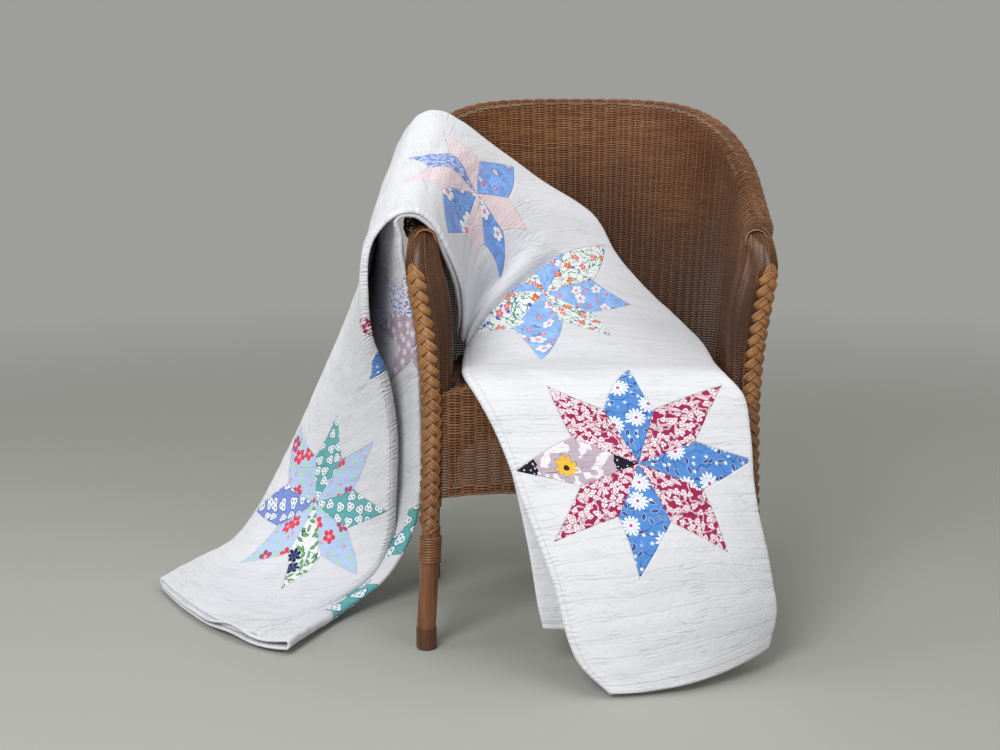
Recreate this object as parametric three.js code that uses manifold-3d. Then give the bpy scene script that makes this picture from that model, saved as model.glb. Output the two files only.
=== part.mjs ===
// A woven-fibre tub chair with a folded patchwork quilt draped over its left arm, seat and front.
// Millimetres, +Z up. X = 0 is the chair's centreline, Y = 0 the plane of its front posts, +Y its back.
// The finished group is shifted so that the centre of its footprint lies at the origin.
import * as THREE from 'three';
import { mergeVertices } from 'three/addons/utils/BufferGeometryUtils.js';
import Module from 'manifold-3d';

const wasm = await Module();
wasm.setup();

// ---- driving dimensions ---------------------------------------------------------------------
const GAP = 0.4; // clearance between touching pieces
const RIM_BACK_HEIGHT = 850; // top of the back
const ARM_HEIGHT = 660; // top of the arms
const RIM_RISE_START = 100; // Y where the rim starts to climb from the arms
const RIM_RISE_LENGTH = 405; // Y run of the climb
const SEAT_HEIGHT = 412; // top of the woven seat
const SKIRT_HEIGHT = 246; // lower edge of the woven skirt
const WALL = 6; // thickness of the woven sheet
const ARM_START = 200; // Y where the straight arms meet the curved back
const SEAT_HALF_WIDTH = 232; // wall centre to chair centre, beside the seat
const SEAT_DEPTH = 455; // wall centre at the back, at seat height
const WALL_LEAN_SIDE = 30; // how far the side walls lean out between seat and rim
const WALL_LEAN_BACK = 50; // how far the back leans between seat and rim
const BACK_SQUARENESS = 0.8; // exponent of the back's plan curve: 1 is an ellipse, 0 a box
const BACK_SHARE = 0.72; // share of the plan parameter that runs round the back
const WALL_FRONT = 33; // Y where the side walls meet the rolled arm fronts
const ROLL_BACK = 10; // radius of the rolled rim at the back
const ROLL_ARM = 24; // radius of the rolled rim at the arms
const TURN_BACK = 78; // degrees the sheet turns over the hoop at the back
const TURN_ARM = 128; // and at the arms
const HOOP_RADIUS = 6; // bent hoop under the rolled rim
const BORDER_RADIUS = 4; // woven border along the lip
const BORDER_GAP = 1;
const LEG_RADIUS = 14.7;
const BACK_LEG_RADIUS = 13.7;
const POST_CORE_RADIUS = 13; // front post where it runs inside the braid
const BRAID_RADIUS = 17.5;
const BRAID_BOTTOM = 197;
const BRAID_TOP = 590;
const BINDING_BOTTOM = 140;
const BINDING_TOP = 181;
const BINDING_WALL = 2.2; // from the leg's surface to the outside of the binding
const BINDING_GAP = 0.9; // sleeves and bores stand this far off the rod inside them
const CAP_HEIGHT = 36;
const CAP_RADIUS = 17;
const CAP_BORE_RADIUS = 15.8;
const CAP_FLOOR = 3;
const POST_TOP = 640;
const BACK_POST_TOP = 688; // just under the rim hoop
const ARM_ROLL_BOTTOM = 414;
const RAIL = 20; // seat rails are square
const RAIL_CENTRE_HEIGHT = 386;
const SEAT_THICKNESS = 8;
const EDGE_ROLL_RADIUS = 9;
const APRON_THICKNESS = 6;
const APRON_RAIL_RADIUS = 5;
const SLAT_WIDTH = 40;
const SLAT_THICKNESS = 10;
const QUILT_THICKNESS = 14; // four layers, lying flat
const QUILT_EDGE_THICKNESS = 8; // the same at the pinched edges
const QUILT_FLOOR_THICKNESS = 22; // loose folds, heaped on the floor
const FOLD_THICKNESS = 8; // two layers

// ---- materials ------------------------------------------------------------------------------
const material = (colour, roughness) =>
  new THREE.MeshStandardMaterial({ color: colour, roughness, metalness: 0 });
const CANE = material(0x6b4427, 0.45);
const DARK_CANE = material(0x4a2d19, 0.55);
const WEAVE = material(0x7a5231, 0.6);
const BRAID = material(0x94602f, 0.5);
const BEECH = material(0x8a6a48, 0.7);
const CLOTH = material(0xe6e5e8, 0.9);

// ---- small helpers --------------------------------------------------------------------------
const lerp = (a, b, t) => a + (b - a) * t;
const smooth = (t) => THREE.MathUtils.smoothstep(t, 0, 1);
const vec = (x, y, z) => new THREE.Vector3(x, y, z);
const mirrored = (side, point) => vec(side * point.x, point.y, point.z);

function curveThrough(points) {
  return new THREE.CatmullRomCurve3(points, false, 'centripetal');
}

// How far along a rising curve it reaches a height, from 0 to 1.
function shareAtHeight(curve, height) {
  let low = 0;
  let high = 1;
  for (let i = 0; i < 30; i++) {
    const middle = (low + high) / 2;
    if (curve.getPoint(middle).z < height) low = middle;
    else high = middle;
  }
  return low;
}

// Value of a smooth curve through [height, value] knots.
function profile(knots) {
  const curve = curveThrough(knots.map(([height, value]) => vec(value, 0, height)));
  return (height) => curve.getPoint(shareAtHeight(curve, height)).x;
}

function circle(radius, sides) {
  const points = [];
  for (let i = 0; i < sides; i++) {
    const angle = (2 * Math.PI * i) / sides;
    points.push(new THREE.Vector2(radius * Math.cos(angle), radius * Math.sin(angle)));
  }
  return points;
}

// A round rod along a path, or a pipe where an inner radius is given.
function rod(path, radius, steps, sides = 10, innerRadius = 0) {
  const shape = new THREE.Shape(circle(radius, sides));
  if (innerRadius > 0) shape.holes.push(new THREE.Path(circle(innerRadius, sides)));
  return new THREE.ExtrudeGeometry(shape, { steps, extrudePath: path, bevelEnabled: false });
}

// A closed solid between two grids of points, which share their rows and columns.
function slab(outer, inner) {
  const rows = outer.length;
  const columns = outer[0].length;
  const positions = [];
  const triangles = [];
  for (const grid of [outer, inner]) {
    for (const row of grid) {
      for (const point of row) positions.push(point.x, point.y, point.z);
    }
  }
  const at = (layer, i, j) => (layer * rows + i) * columns + j;
  const quad = (a, b, c, d) => triangles.push(a, b, c, a, c, d);
  for (let i = 0; i + 1 < rows; i++) {
    for (let j = 0; j + 1 < columns; j++) {
      quad(at(0, i, j), at(0, i, j + 1), at(0, i + 1, j + 1), at(0, i + 1, j));
      quad(at(1, i, j), at(1, i + 1, j), at(1, i + 1, j + 1), at(1, i, j + 1));
    }
    quad(at(0, i, 0), at(0, i + 1, 0), at(1, i + 1, 0), at(1, i, 0));
    const last = columns - 1;
    quad(at(0, i, last), at(1, i, last), at(1, i + 1, last), at(0, i + 1, last));
  }
  for (let j = 0; j + 1 < columns; j++) {
    quad(at(0, 0, j), at(1, 0, j), at(1, 0, j + 1), at(0, 0, j + 1));
    const last = rows - 1;
    quad(at(0, last, j), at(0, last, j + 1), at(1, last, j + 1), at(1, last, j));
  }
  const geometry = new THREE.BufferGeometry();
  geometry.setAttribute('position', new THREE.Float32BufferAttribute(positions, 3));
  geometry.setIndex(triangles);
  return geometry;
}

// A solid through a stack of closed sections with the same number of points.
function loft(sections) {
  const sides = sections[0].length;
  const positions = sections.flat().flatMap((point) => [point.x, point.y, point.z]);
  const triangles = [];
  for (let i = 0; i + 1 < sections.length; i++) {
    for (let j = 0; j < sides; j++) {
      const next = (j + 1) % sides;
      const a = i * sides + j;
      const b = i * sides + next;
      triangles.push(a, b, b + sides, a, b + sides, a + sides);
    }
  }
  const top = (sections.length - 1) * sides;
  for (let j = 1; j + 1 < sides; j++) {
    triangles.push(0, j + 1, j);
    triangles.push(top, top + j, top + j + 1);
  }
  const geometry = new THREE.BufferGeometry();
  geometry.setAttribute('position', new THREE.Float32BufferAttribute(positions, 3));
  geometry.setIndex(triangles);
  return geometry;
}

function toManifold(geometry) {
  const bare = geometry.clone();
  bare.deleteAttribute('normal');
  bare.deleteAttribute('uv');
  const merged = mergeVertices(bare, 1e-3);
  return new wasm.Manifold(
    new wasm.Mesh({
      numProp: 3,
      vertProperties: new Float32Array(merged.attributes.position.array),
      triVerts: new Uint32Array(merged.index.array),
    }),
  );
}

function fromManifold(solid) {
  const mesh = solid.getMesh();
  const geometry = new THREE.BufferGeometry();
  geometry.setAttribute('position', new THREE.Float32BufferAttribute(mesh.vertProperties, 3));
  geometry.setIndex(Array.from(mesh.triVerts));
  return geometry;
}

function cut(geometry, ...tools) {
  let solid = toManifold(geometry);
  for (const tool of tools) solid = solid.subtract(toManifold(tool));
  return fromManifold(solid);
}

const model = new THREE.Group();

function add(name, geometry, finish) {
  const flat = geometry.index ? geometry.toNonIndexed() : geometry;
  flat.computeVertexNormals();
  const mesh = new THREE.Mesh(flat, finish);
  mesh.name = name;
  model.add(mesh);
}

const SIDES = [
  ['left', -1],
  ['right', 1],
];

// ---- posts and legs -------------------------------------------------------------------------
// Each front post is one bent cane: it splays at the foot, stands upright beside the seat and leans
// out again into the arm.
const postX = profile([
  [0, 253.5],
  [200, 243],
  [390, 238],
  [475, 243],
  [540, 252],
  [600, 262],
  [POST_TOP, 268],
  [700, 277],
]);

function frontPostPath(side) {
  const points = [];
  for (let height = 0; height <= 700; height += 50) points.push(vec(side * postX(height), 0, height));
  return curveThrough(points);
}

// Each back post runs outside the skirt, from the foot to the rim hoop.
const BACK_POST = [
  vec(262, 365, CAP_FLOOR + GAP),
  vec(258.5, 334, 120),
  vec(249, 303, 250),
  vec(248, 286, 380),
  vec(253, 286, 500),
  vec(263, 293, 630),
  vec(269, 299, 700),
];

function backPostPath(side) {
  return curveThrough(BACK_POST.map((point) => mirrored(side, point)));
}

// The part of a curve between two heights.
function stretch(curve, bottom, top, count) {
  const points = [];
  for (let i = 0; i <= count; i++) {
    const height = lerp(bottom, top, i / count);
    points.push(curve.getPoint(shareAtHeight(curve, height)));
  }
  return curveThrough(points);
}

// A turned cup that the foot of a leg stands in.
function footCap(x, y) {
  const outline = [
    [0, 0],
    [CAP_RADIUS - 1, 0],
    [CAP_RADIUS, 2],
    [CAP_RADIUS, CAP_HEIGHT],
    [CAP_BORE_RADIUS, CAP_HEIGHT],
    [CAP_BORE_RADIUS, CAP_FLOOR],
    [0, CAP_FLOOR],
  ];
  const geometry = new THREE.LatheGeometry(outline.map(([r, z]) => new THREE.Vector2(r, z)), 14);
  geometry.rotateX(Math.PI / 2);
  geometry.translate(x, y, 0);
  return geometry;
}

// A leg follows its splayed path, but stands upright inside its cap.
function leg(path, footX, footY, bottom, top, radius) {
  const points = [vec(footX, footY, bottom), vec(footX, footY, CAP_HEIGHT + 4)];
  const count = 9;
  for (let i = 1; i <= count; i++) {
    const height = lerp(CAP_HEIGHT + 10, top, i / count);
    points.push(path.getPoint(shareAtHeight(path, height)));
  }
  return rod(curveThrough(points), radius, 14, 10);
}

// Ten turns of fine cane, as one sleeve.
function legBinding(path, legRadius) {
  const sleeve = stretch(path, BINDING_BOTTOM, BINDING_TOP, 3);
  return rod(sleeve, legRadius + BINDING_WALL, 1, 14, legRadius + BINDING_GAP);
}

for (const [word, side] of SIDES) {
  const frontPath = frontPostPath(side);
  const frontFoot = vec(side * postX(CAP_HEIGHT), 0, 0);
  const lower = leg(frontPath, frontFoot.x, 0, CAP_FLOOR + GAP, BRAID_BOTTOM - 2, LEG_RADIUS);
  const core = rod(stretch(frontPath, BRAID_BOTTOM - 12, POST_TOP, 12), POST_CORE_RADIUS, 9, 10);
  const post = fromManifold(toManifold(lower).add(toManifold(core)));
  add(`front_post_${word}`, post, CANE);
  add(`foot_cap_front_${word}`, footCap(frontFoot.x, 0), DARK_CANE);
  add(`leg_binding_front_${word}`, legBinding(frontPath, LEG_RADIUS), BRAID);

  const braidPath = stretch(frontPath, BRAID_BOTTOM, BRAID_TOP, 9);
  add(`braid_${word}`, rod(braidPath, BRAID_RADIUS, 9, 12, POST_CORE_RADIUS + BINDING_GAP), BRAID);

  const backPath = backPostPath(side);
  const backFoot = backPath.getPoint(shareAtHeight(backPath, CAP_HEIGHT));
  const backLeg = leg(backPath, backFoot.x, backFoot.y, CAP_FLOOR + GAP, BACK_POST_TOP, BACK_LEG_RADIUS);
  add(`back_post_${word}`, backLeg, CANE);
  add(`foot_cap_back_${word}`, footCap(backFoot.x, backFoot.y), DARK_CANE);
  add(`leg_binding_back_${word}`, legBinding(backPath, BACK_LEG_RADIUS), BRAID);
}

// ---- woven tub ------------------------------------------------------------------------------
// The rolled arm front swells inwards from the post: its centre and half width at each height.
const rollCentre = profile([
  [390, 231],
  [ARM_ROLL_BOTTOM, 232],
  [486, 234],
  [547, 241.5],
  [585, 250],
  [630, 259],
  [ARM_HEIGHT, 264],
  [700, 270],
]);
const rollHalfWidth = profile([
  [390, 20],
  [ARM_ROLL_BOTTOM, 21.5],
  [486, 25],
  [547, 28.5],
  [630, 28],
  [700, 28],
]);

function rimHeight(y) {
  const climb = smooth((y - RIM_RISE_START) / RIM_RISE_LENGTH);
  return ARM_HEIGHT + (RIM_BACK_HEIGHT - ARM_HEIGHT) * climb;
}

// Centre of the woven wall in plan. t runs from -1 (left arm front) over 0 (back) to 1 (right).
function planPoint(t, z) {
  const side = Math.sign(t) || 1;
  const share = Math.abs(t);
  const rise = (z - SEAT_HEIGHT) / (RIM_BACK_HEIGHT - SEAT_HEIGHT);
  const halfWidth = SEAT_HALF_WIDTH + WALL_LEAN_SIDE * rise;
  if (share <= BACK_SHARE) {
    const angle = (share / BACK_SHARE) * (Math.PI / 2);
    const depth = SEAT_DEPTH + WALL_LEAN_BACK * rise;
    const x = halfWidth * Math.sin(angle) ** BACK_SQUARENESS;
    const y = ARM_START + (depth - ARM_START) * Math.max(Math.cos(angle), 0) ** BACK_SQUARENESS;
    return vec(side * x, y, z);
  }
  const run = (share - BACK_SHARE) / (1 - BACK_SHARE);
  const frontX = rollCentre(Math.max(z, 400)) - rollHalfWidth(Math.max(z, 400)) + WALL / 2;
  const x = lerp(halfWidth, frontX, run * run * (1.6 - 0.6 * run));
  return vec(side * x, lerp(ARM_START, WALL_FRONT, run), z);
}

// Horizontal direction that points out of the tub.
function outward(t, z) {
  const step = 0.004;
  const before = planPoint(Math.max(t - step, -1), z);
  const after = planPoint(Math.min(t + step, 1), z);
  return vec(-(after.y - before.y), after.x - before.x, 0).normalize();
}

const rollRadius = (t) => lerp(ROLL_BACK, ROLL_ARM, smooth(Math.abs(t) / 0.9));
const rollTurn = (t) => THREE.MathUtils.degToRad(lerp(TURN_BACK, TURN_ARM, smooth(Math.abs(t) / 0.8)));

function crestHeight(t) {
  return rimHeight(planPoint(t, 700).y);
}

// Centre line of the rolled rim, which the hoop fills.
function rollAxis(t) {
  const radius = rollRadius(t);
  const height = crestHeight(t) - WALL / 2 - radius;
  return planPoint(t, height).addScaledVector(outward(t, height), radius);
}

// A point of the rolled rim, turned by an angle from the wall, at a distance from its axis.
function rollPoint(t, angle, distance) {
  const height = rollAxis(t).z;
  const direction = outward(t, height).multiplyScalar(-Math.cos(angle));
  direction.z = Math.sin(angle);
  return rollAxis(t).addScaledVector(direction, distance);
}

function tubGrid(offset) {
  const grid = [];
  const columns = 44;
  const wallRows = 4;
  const rollRows = 4;
  for (let i = 0; i <= wallRows + rollRows; i++) {
    const row = [];
    for (let j = 0; j <= columns; j++) {
      const t = lerp(-1, 1, j / columns);
      if (i <= wallRows) {
        const z = lerp(SKIRT_HEIGHT, rollAxis(t).z, i / wallRows);
        row.push(planPoint(t, z).addScaledVector(outward(t, z), offset));
      } else {
        const angle = (rollTurn(t) * (i - wallRows)) / rollRows;
        row.push(rollPoint(t, angle, rollRadius(t) - offset));
      }
    }
    grid.push(row);
  }
  return grid;
}

add('woven_tub', slab(tubGrid(-WALL / 2), tubGrid(WALL / 2)), WEAVE);

function rimPath(pointAt, reach, count) {
  const points = [];
  for (let i = 0; i <= count; i++) points.push(pointAt(lerp(-reach, reach, i / count)));
  return curveThrough(points);
}

add('rim_hoop', rod(rimPath(rollAxis, 0.995, 36), HOOP_RADIUS, 36, 7), BEECH);

function borderPoint(t) {
  const end = rollPoint(t, rollTurn(t), rollRadius(t));
  const ahead = rollPoint(t, rollTurn(t) + 0.05, rollRadius(t)).sub(end).normalize();
  return end.addScaledVector(ahead, BORDER_RADIUS + BORDER_GAP);
}

add('rim_border', rod(rimPath(borderPoint, 0.995, 44), BORDER_RADIUS, 44, 6), DARK_CANE);

// ---- rolled arm fronts ----------------------------------------------------------------------
const ARM_ROLL_Y = 7.5;
const ARM_ROLL_HALF_DEPTH = 24.5;
const DOME_BOTTOM = 632; // the rolled front closes over above this height
const DOME_INSET = 22;

function armRollSection(side, z, inset) {
  const points = [];
  const sides = 16;
  for (let i = 0; i < sides; i++) {
    const angle = (side * 2 * Math.PI * i) / sides;
    const x = rollCentre(z) + (rollHalfWidth(z) - inset) * Math.cos(angle);
    const y = ARM_ROLL_Y + (ARM_ROLL_HALF_DEPTH - inset) * Math.sin(angle);
    points.push(vec(side * x, y, z));
  }
  return points;
}

function armRoll(side) {
  const sections = [];
  for (const z of [ARM_ROLL_BOTTOM, 465, 510, 550, 590, DOME_BOTTOM]) {
    sections.push(armRollSection(side, z, 0));
  }
  for (const angle of [0.45, 0.9, 1.25]) {
    const z = DOME_BOTTOM + (ARM_HEIGHT - DOME_BOTTOM) * Math.sin(angle);
    sections.push(armRollSection(side, z, DOME_INSET * (1 - Math.cos(angle))));
  }
  return loft(sections);
}

for (const [word, side] of SIDES) {
  const path = frontPostPath(side);
  const borePath = stretch(path, ARM_ROLL_BOTTOM - 10, POST_TOP + 2, 10);
  const bore = rod(borePath, POST_CORE_RADIUS + BINDING_GAP, 8, 10);
  const groovePath = stretch(path, ARM_ROLL_BOTTOM - 10, BRAID_TOP + 1, 10);
  const groove = rod(groovePath, BRAID_RADIUS + BINDING_GAP, 8, 12);
  add(`arm_roll_${word}`, cut(armRoll(side), bore, groove), WEAVE);
}

// ---- seat -----------------------------------------------------------------------------------
// A point drawn in from the centre of the wall by a margin.
function insideWall(t, z, margin) {
  return planPoint(t, z).addScaledVector(outward(t, z), -margin);
}

// Horizontal outline of the tub's inside at seat height, drawn in from the wall by a margin.
function seatOutline(margin, front) {
  const points = [];
  const count = 36;
  for (let i = 0; i <= count; i++) {
    const t = lerp(-1, 1, i / count);
    const point = insideWall(t, RAIL_CENTRE_HEIGHT, margin);
    if (point.y > front + 8) points.push(new THREE.Vector2(point.x, point.y));
  }
  points.push(new THREE.Vector2(points[points.length - 1].x, front));
  points.unshift(new THREE.Vector2(points[0].x, front));
  return points;
}

function plate(outline, bottom, height) {
  const geometry = new THREE.ExtrudeGeometry(new THREE.Shape(outline), {
    depth: height,
    bevelEnabled: false,
    steps: 1,
  });
  geometry.translate(0, 0, bottom);
  return geometry;
}

const SEAT_FRONT = 14;
add(
  'woven_seat',
  plate(seatOutline(WALL / 2 + 5, SEAT_FRONT), SEAT_HEIGHT - SEAT_THICKNESS, SEAT_THICKNESS),
  WEAVE,
);

const RAIL_TOP = RAIL_CENTRE_HEIGHT + RAIL / 2;
const RAIL_MARGIN = WALL / 2 + 2; // from the wall's centre to the rail's outer face
const BACK_RAIL_REACH = 0.6; // plan parameter where the side rails take over

function bandOutline(outerMargin, innerMargin, reach) {
  const points = [];
  const count = 20;
  for (const [margin, from, to] of [
    [outerMargin, -reach, reach],
    [innerMargin, reach, -reach],
  ]) {
    for (let i = 0; i <= count; i++) {
      const t = lerp(from, to, i / count);
      const point = insideWall(t, RAIL_CENTRE_HEIGHT, margin);
      points.push(new THREE.Vector2(point.x, point.y));
    }
  }
  return points;
}

add(
  'seat_rail_back',
  plate(bandOutline(RAIL_MARGIN, RAIL_MARGIN + RAIL, BACK_RAIL_REACH), RAIL_TOP - RAIL, RAIL),
  BEECH,
);

const FRONT_RAIL_Y = 25;
const FRONT_RAIL_HALF = 208;
const SIDE_RAIL_X = 196;
const SLAT_END = 395; // Y where the slats meet the back rail

function bar(fromX, toX, fromY, toY, bottom, height) {
  const geometry = new THREE.BoxGeometry(toX - fromX, toY - fromY, height);
  geometry.translate((fromX + toX) / 2, (fromY + toY) / 2, bottom + height / 2);
  return geometry;
}

add(
  'seat_rail_front',
  bar(
    -FRONT_RAIL_HALF,
    FRONT_RAIL_HALF,
    FRONT_RAIL_Y - RAIL / 2,
    FRONT_RAIL_Y + RAIL / 2,
    RAIL_TOP - RAIL,
    RAIL,
  ),
  BEECH,
);

const backRailEnd = planPoint(BACK_RAIL_REACH, RAIL_CENTRE_HEIGHT);
for (const [word, side] of SIDES) {
  const inner = side * (SIDE_RAIL_X - RAIL / 2);
  const outer = side * (SIDE_RAIL_X + RAIL / 2);
  const rail = bar(
    Math.min(inner, outer),
    Math.max(inner, outer),
    FRONT_RAIL_Y + RAIL / 2 + GAP,
    backRailEnd.y - RAIL / 2 - 4,
    RAIL_TOP - RAIL,
    RAIL,
  );
  add(`seat_rail_${word}`, rail, BEECH);
}

const SLAT_PLACES = [
  ['left', -95],
  ['middle', 0],
  ['right', 95],
];
for (const [word, x] of SLAT_PLACES) {
  const slat = bar(
    x - SLAT_WIDTH / 2,
    x + SLAT_WIDTH / 2,
    FRONT_RAIL_Y + RAIL / 2 + GAP,
    SLAT_END,
    RAIL_TOP - SLAT_THICKNESS,
    SLAT_THICKNESS,
  );
  add(`seat_slat_${word}`, slat, BEECH);
}

const EDGE_ROLL_HALF = 209;
const EDGE_ROLL_Y = 2;
const edgePath = new THREE.LineCurve3(
  vec(-EDGE_ROLL_HALF, EDGE_ROLL_Y, SEAT_HEIGHT - EDGE_ROLL_RADIUS),
  vec(EDGE_ROLL_HALF, EDGE_ROLL_Y, SEAT_HEIGHT - EDGE_ROLL_RADIUS),
);
add('seat_edge_roll', rod(edgePath, EDGE_ROLL_RADIUS, 1, 16), BRAID);

// ---- apron and skirt ------------------------------------------------------------------------
// The apron hangs between the posts, with its lower edge slightly arched.
const APRON_TOP = SEAT_HEIGHT - 2 * EDGE_ROLL_RADIUS - GAP;
const APRON_Y = -4;
const APRON_ARCH = 8;

function apronGrid(y) {
  const grid = [];
  const columns = 12;
  for (const level of [0, 0.5, 1]) {
    const row = [];
    for (let j = 0; j <= columns; j++) {
      const across = lerp(-1, 1, j / columns);
      const bottom = SKIRT_HEIGHT - 4 + APRON_ARCH * (1 - across ** 4);
      const z = lerp(bottom, APRON_TOP, level);
      row.push(vec(across * (postX(z) - BRAID_RADIUS - 1), y, z));
    }
    grid.push(row);
  }
  return grid;
}

const apronFront = apronGrid(APRON_Y - APRON_THICKNESS / 2);
const apronBack = apronGrid(APRON_Y + APRON_THICKNESS / 2);
add('front_apron', slab(apronFront, apronBack), WEAVE);

const APRON_RAIL_HALF = 217;
const apronRailPath = curveThrough(
  [-1, -0.5, 0, 0.5, 1].map((across) => {
    const z = SKIRT_HEIGHT + 4 + APRON_ARCH * (1 - across ** 4);
    return vec(across * APRON_RAIL_HALF, APRON_Y + 9, z);
  }),
);
add('apron_rail', rod(apronRailPath, APRON_RAIL_RADIUS, 12, 8), CANE);

const skirtMargin = WALL / 2 + APRON_RAIL_RADIUS + GAP;
const skirtPath = rimPath((t) => insideWall(t, SKIRT_HEIGHT + 7, skirtMargin), 0.96, 36);
add('skirt_hoop', rod(skirtPath, APRON_RAIL_RADIUS, 32, 6), CANE);

// ---- quilt ----------------------------------------------------------------------------------
// The folded strip runs from the floor in front of the chair, over the seat and the left arm, and down
// to the floor at the left. Each station gives the upper face at its near edge, middle and far edge.
const QUILT_STATIONS = [
  [[21, -207, 9], [150, -176, 15], [268, -95, 36]],
  [[-27, -190, 53], [135, -172, 75], [276, -95, 85]],
  [[-62, -155, 160], [115, -150, 180], [262, -90, 170]],
  [[-100, -113, 255], [85, -108, 270], [242, -77, 265]],
  [[-137, -72, 348], [45, -70, 350], [234, -60, 355]],
  [[-170, -42, 408], [10, -40, 414], [226, -42, 408]],
  [[-190, -2, 434], [0, -2, 438], [204, -14, 437]],
  [[-196, 85, 436], [-12, 100, 444], [202, 100, 440]],
  [[-197, 170, 440], [-35, 185, 468], [204, 220, 444]],
  [[-196, 225, 446], [-74, 270, 505], [188, 330, 462]],
  [[-196, 222, 462], [-90, 322, 555], [140, 392, 506]],
  [[-192, 176, 484], [-110, 330, 602], [76, 425, 575]],
  [[-190, 130, 524], [-145, 316, 648], [30, 436, 648]],
  [[-194, 86, 566], [-182, 296, 694], [-60, 438, 708]],
  [[-211, 52, 616], [-222, 250, 738], [-146, 424, 770]],
  [[-236, 32, 664], [-246, 224, 740], [-200, 404, 812]],
  [[-262, 22, 682], [-270, 208, 738], [-238, 392, 832]],
  [[-294, 20, 678], [-302, 206, 728], [-276, 386, 826]],
  [[-324, 19, 655], [-332, 206, 690], [-310, 382, 782]],
  [[-344, 20, 620], [-348, 210, 624], [-332, 382, 714]],
  [[-352, 32, 552], [-367, 226, 532], [-358, 384, 610]],
  [[-347, 60, 477], [-389, 248, 442], [-398, 386, 500]],
  [[-325, 88, 412], [-410, 268, 352], [-441, 386, 398]],
  [[-314, 128, 318], [-434, 288, 254], [-487, 386, 296]],
  [[-318, 165, 205], [-465, 305, 158], [-536, 386, 196]],
  [[-323, 190, 125], [-490, 286, 98], [-584, 384, 112]],
  [[-345, 192, 70], [-514, 250, 56], [-628, 381, 62]],
  [[-402, 148, 36], [-556, 205, 34], [-688, 368, 33]],
  [[-515, 3, 24], [-630, 175, 24], [-751, 355, 24]],
];

// A surface through stations of three points: u runs through the stations and v across, 0 to 1.
function stripSurface(stations) {
  const lines = [0, 1, 2].map((k) => curveThrough(stations.map((station) => vec(...station[k]))));
  return (u, v) => {
    const [near, middle, far] = lines.map((line) => line.getPoint(u));
    const weightMiddle = 4 * v * (1 - v);
    const base = near.multiplyScalar((1 - v) * (1 - 2 * v));
    return base.addScaledVector(middle, weightMiddle).addScaledVector(far, v * (2 * v - 1));
  };
}

function surfaceNormal(surface, u, v) {
  const step = 0.004;
  const alongU = surface(Math.min(u + step, 1), v).sub(surface(Math.max(u - step, 0), v));
  const alongV = surface(u, Math.min(v + step, 1)).sub(surface(u, Math.max(v - step, 0)));
  return alongU.cross(alongV).normalize();
}

// A sheet of a given thickness, hung under a surface.
function sheet(surface, rows, columns, thicknessAt) {
  const upper = [];
  const lower = [];
  for (let i = 0; i <= rows; i++) {
    const upperRow = [];
    const lowerRow = [];
    for (let j = 0; j <= columns; j++) {
      const u = i / rows;
      const v = j / columns;
      const point = surface(u, v);
      const normal = surfaceNormal(surface, u, v);
      upperRow.push(point);
      lowerRow.push(point.clone().addScaledVector(normal, thicknessAt(u, v)));
    }
    upper.push(upperRow);
    lower.push(lowerRow);
  }
  return slab(upper, lower);
}

// Thin at the pinched edges, and thick where the loose end is heaped.
function quiltThickness(u, v) {
  const hung = lerp(QUILT_EDGE_THICKNESS, QUILT_THICKNESS, Math.sin(Math.PI * v) ** 0.5);
  return lerp(hung, QUILT_FLOOR_THICKNESS, smooth((u - 0.9) / 0.08));
}

add('quilt', sheet(stripSurface(QUILT_STATIONS), 56, 6, quiltThickness), CLOTH);

// Two inner layers that hang free between the arm and the outer layers.
const INNER_FOLD_STATIONS = [
  [[-312, 34, 634], [-313, 190, 640], [-313, 345, 655]],
  [[-314, 44, 560], [-320, 195, 550], [-322, 348, 570]],
  [[-313, 62, 490], [-330, 205, 470], [-338, 350, 490]],
  [[-305, 84, 430], [-345, 222, 390], [-362, 350, 410]],
];
const foldThickness = () => FOLD_THICKNESS;
add('quilt_fold_side', sheet(stripSurface(INNER_FOLD_STATIONS), 6, 4, foldThickness), CLOTH);

// Two layers that hang behind the front panel and end short of the floor.
const FRONT_FOLD_STATIONS = [
  [[-74, -92, 66], [80, -92, 66], [226, -60, 66]],
  [[-84, -84, 120], [75, -82, 125], [224, -56, 130]],
  [[-100, -66, 220], [65, -62, 230], [220, -46, 235]],
  [[-122, -48, 310], [50, -45, 312], [216, -38, 314]],
];
add('quilt_fold_front', sheet(stripSurface(FRONT_FOLD_STATIONS), 6, 4, foldThickness), CLOTH);

// ---- place the footprint's centre at the origin ---------------------------------------------
const bounds = new THREE.Box3().setFromObject(model);
const middle = bounds.getCenter(new THREE.Vector3());
model.position.set(-middle.x, -middle.y, -bounds.min.z);

export default model;
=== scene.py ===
# A patchwork quilt draped over a woven-fibre tub chair: looks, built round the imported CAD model.
# The chair's own coordinates are in millimetres: X = 0 is its centreline, Y = 0 the plane of its
# front posts, Z = 0 the floor. place() turns them into the row frame, in metres.
import math

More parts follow.
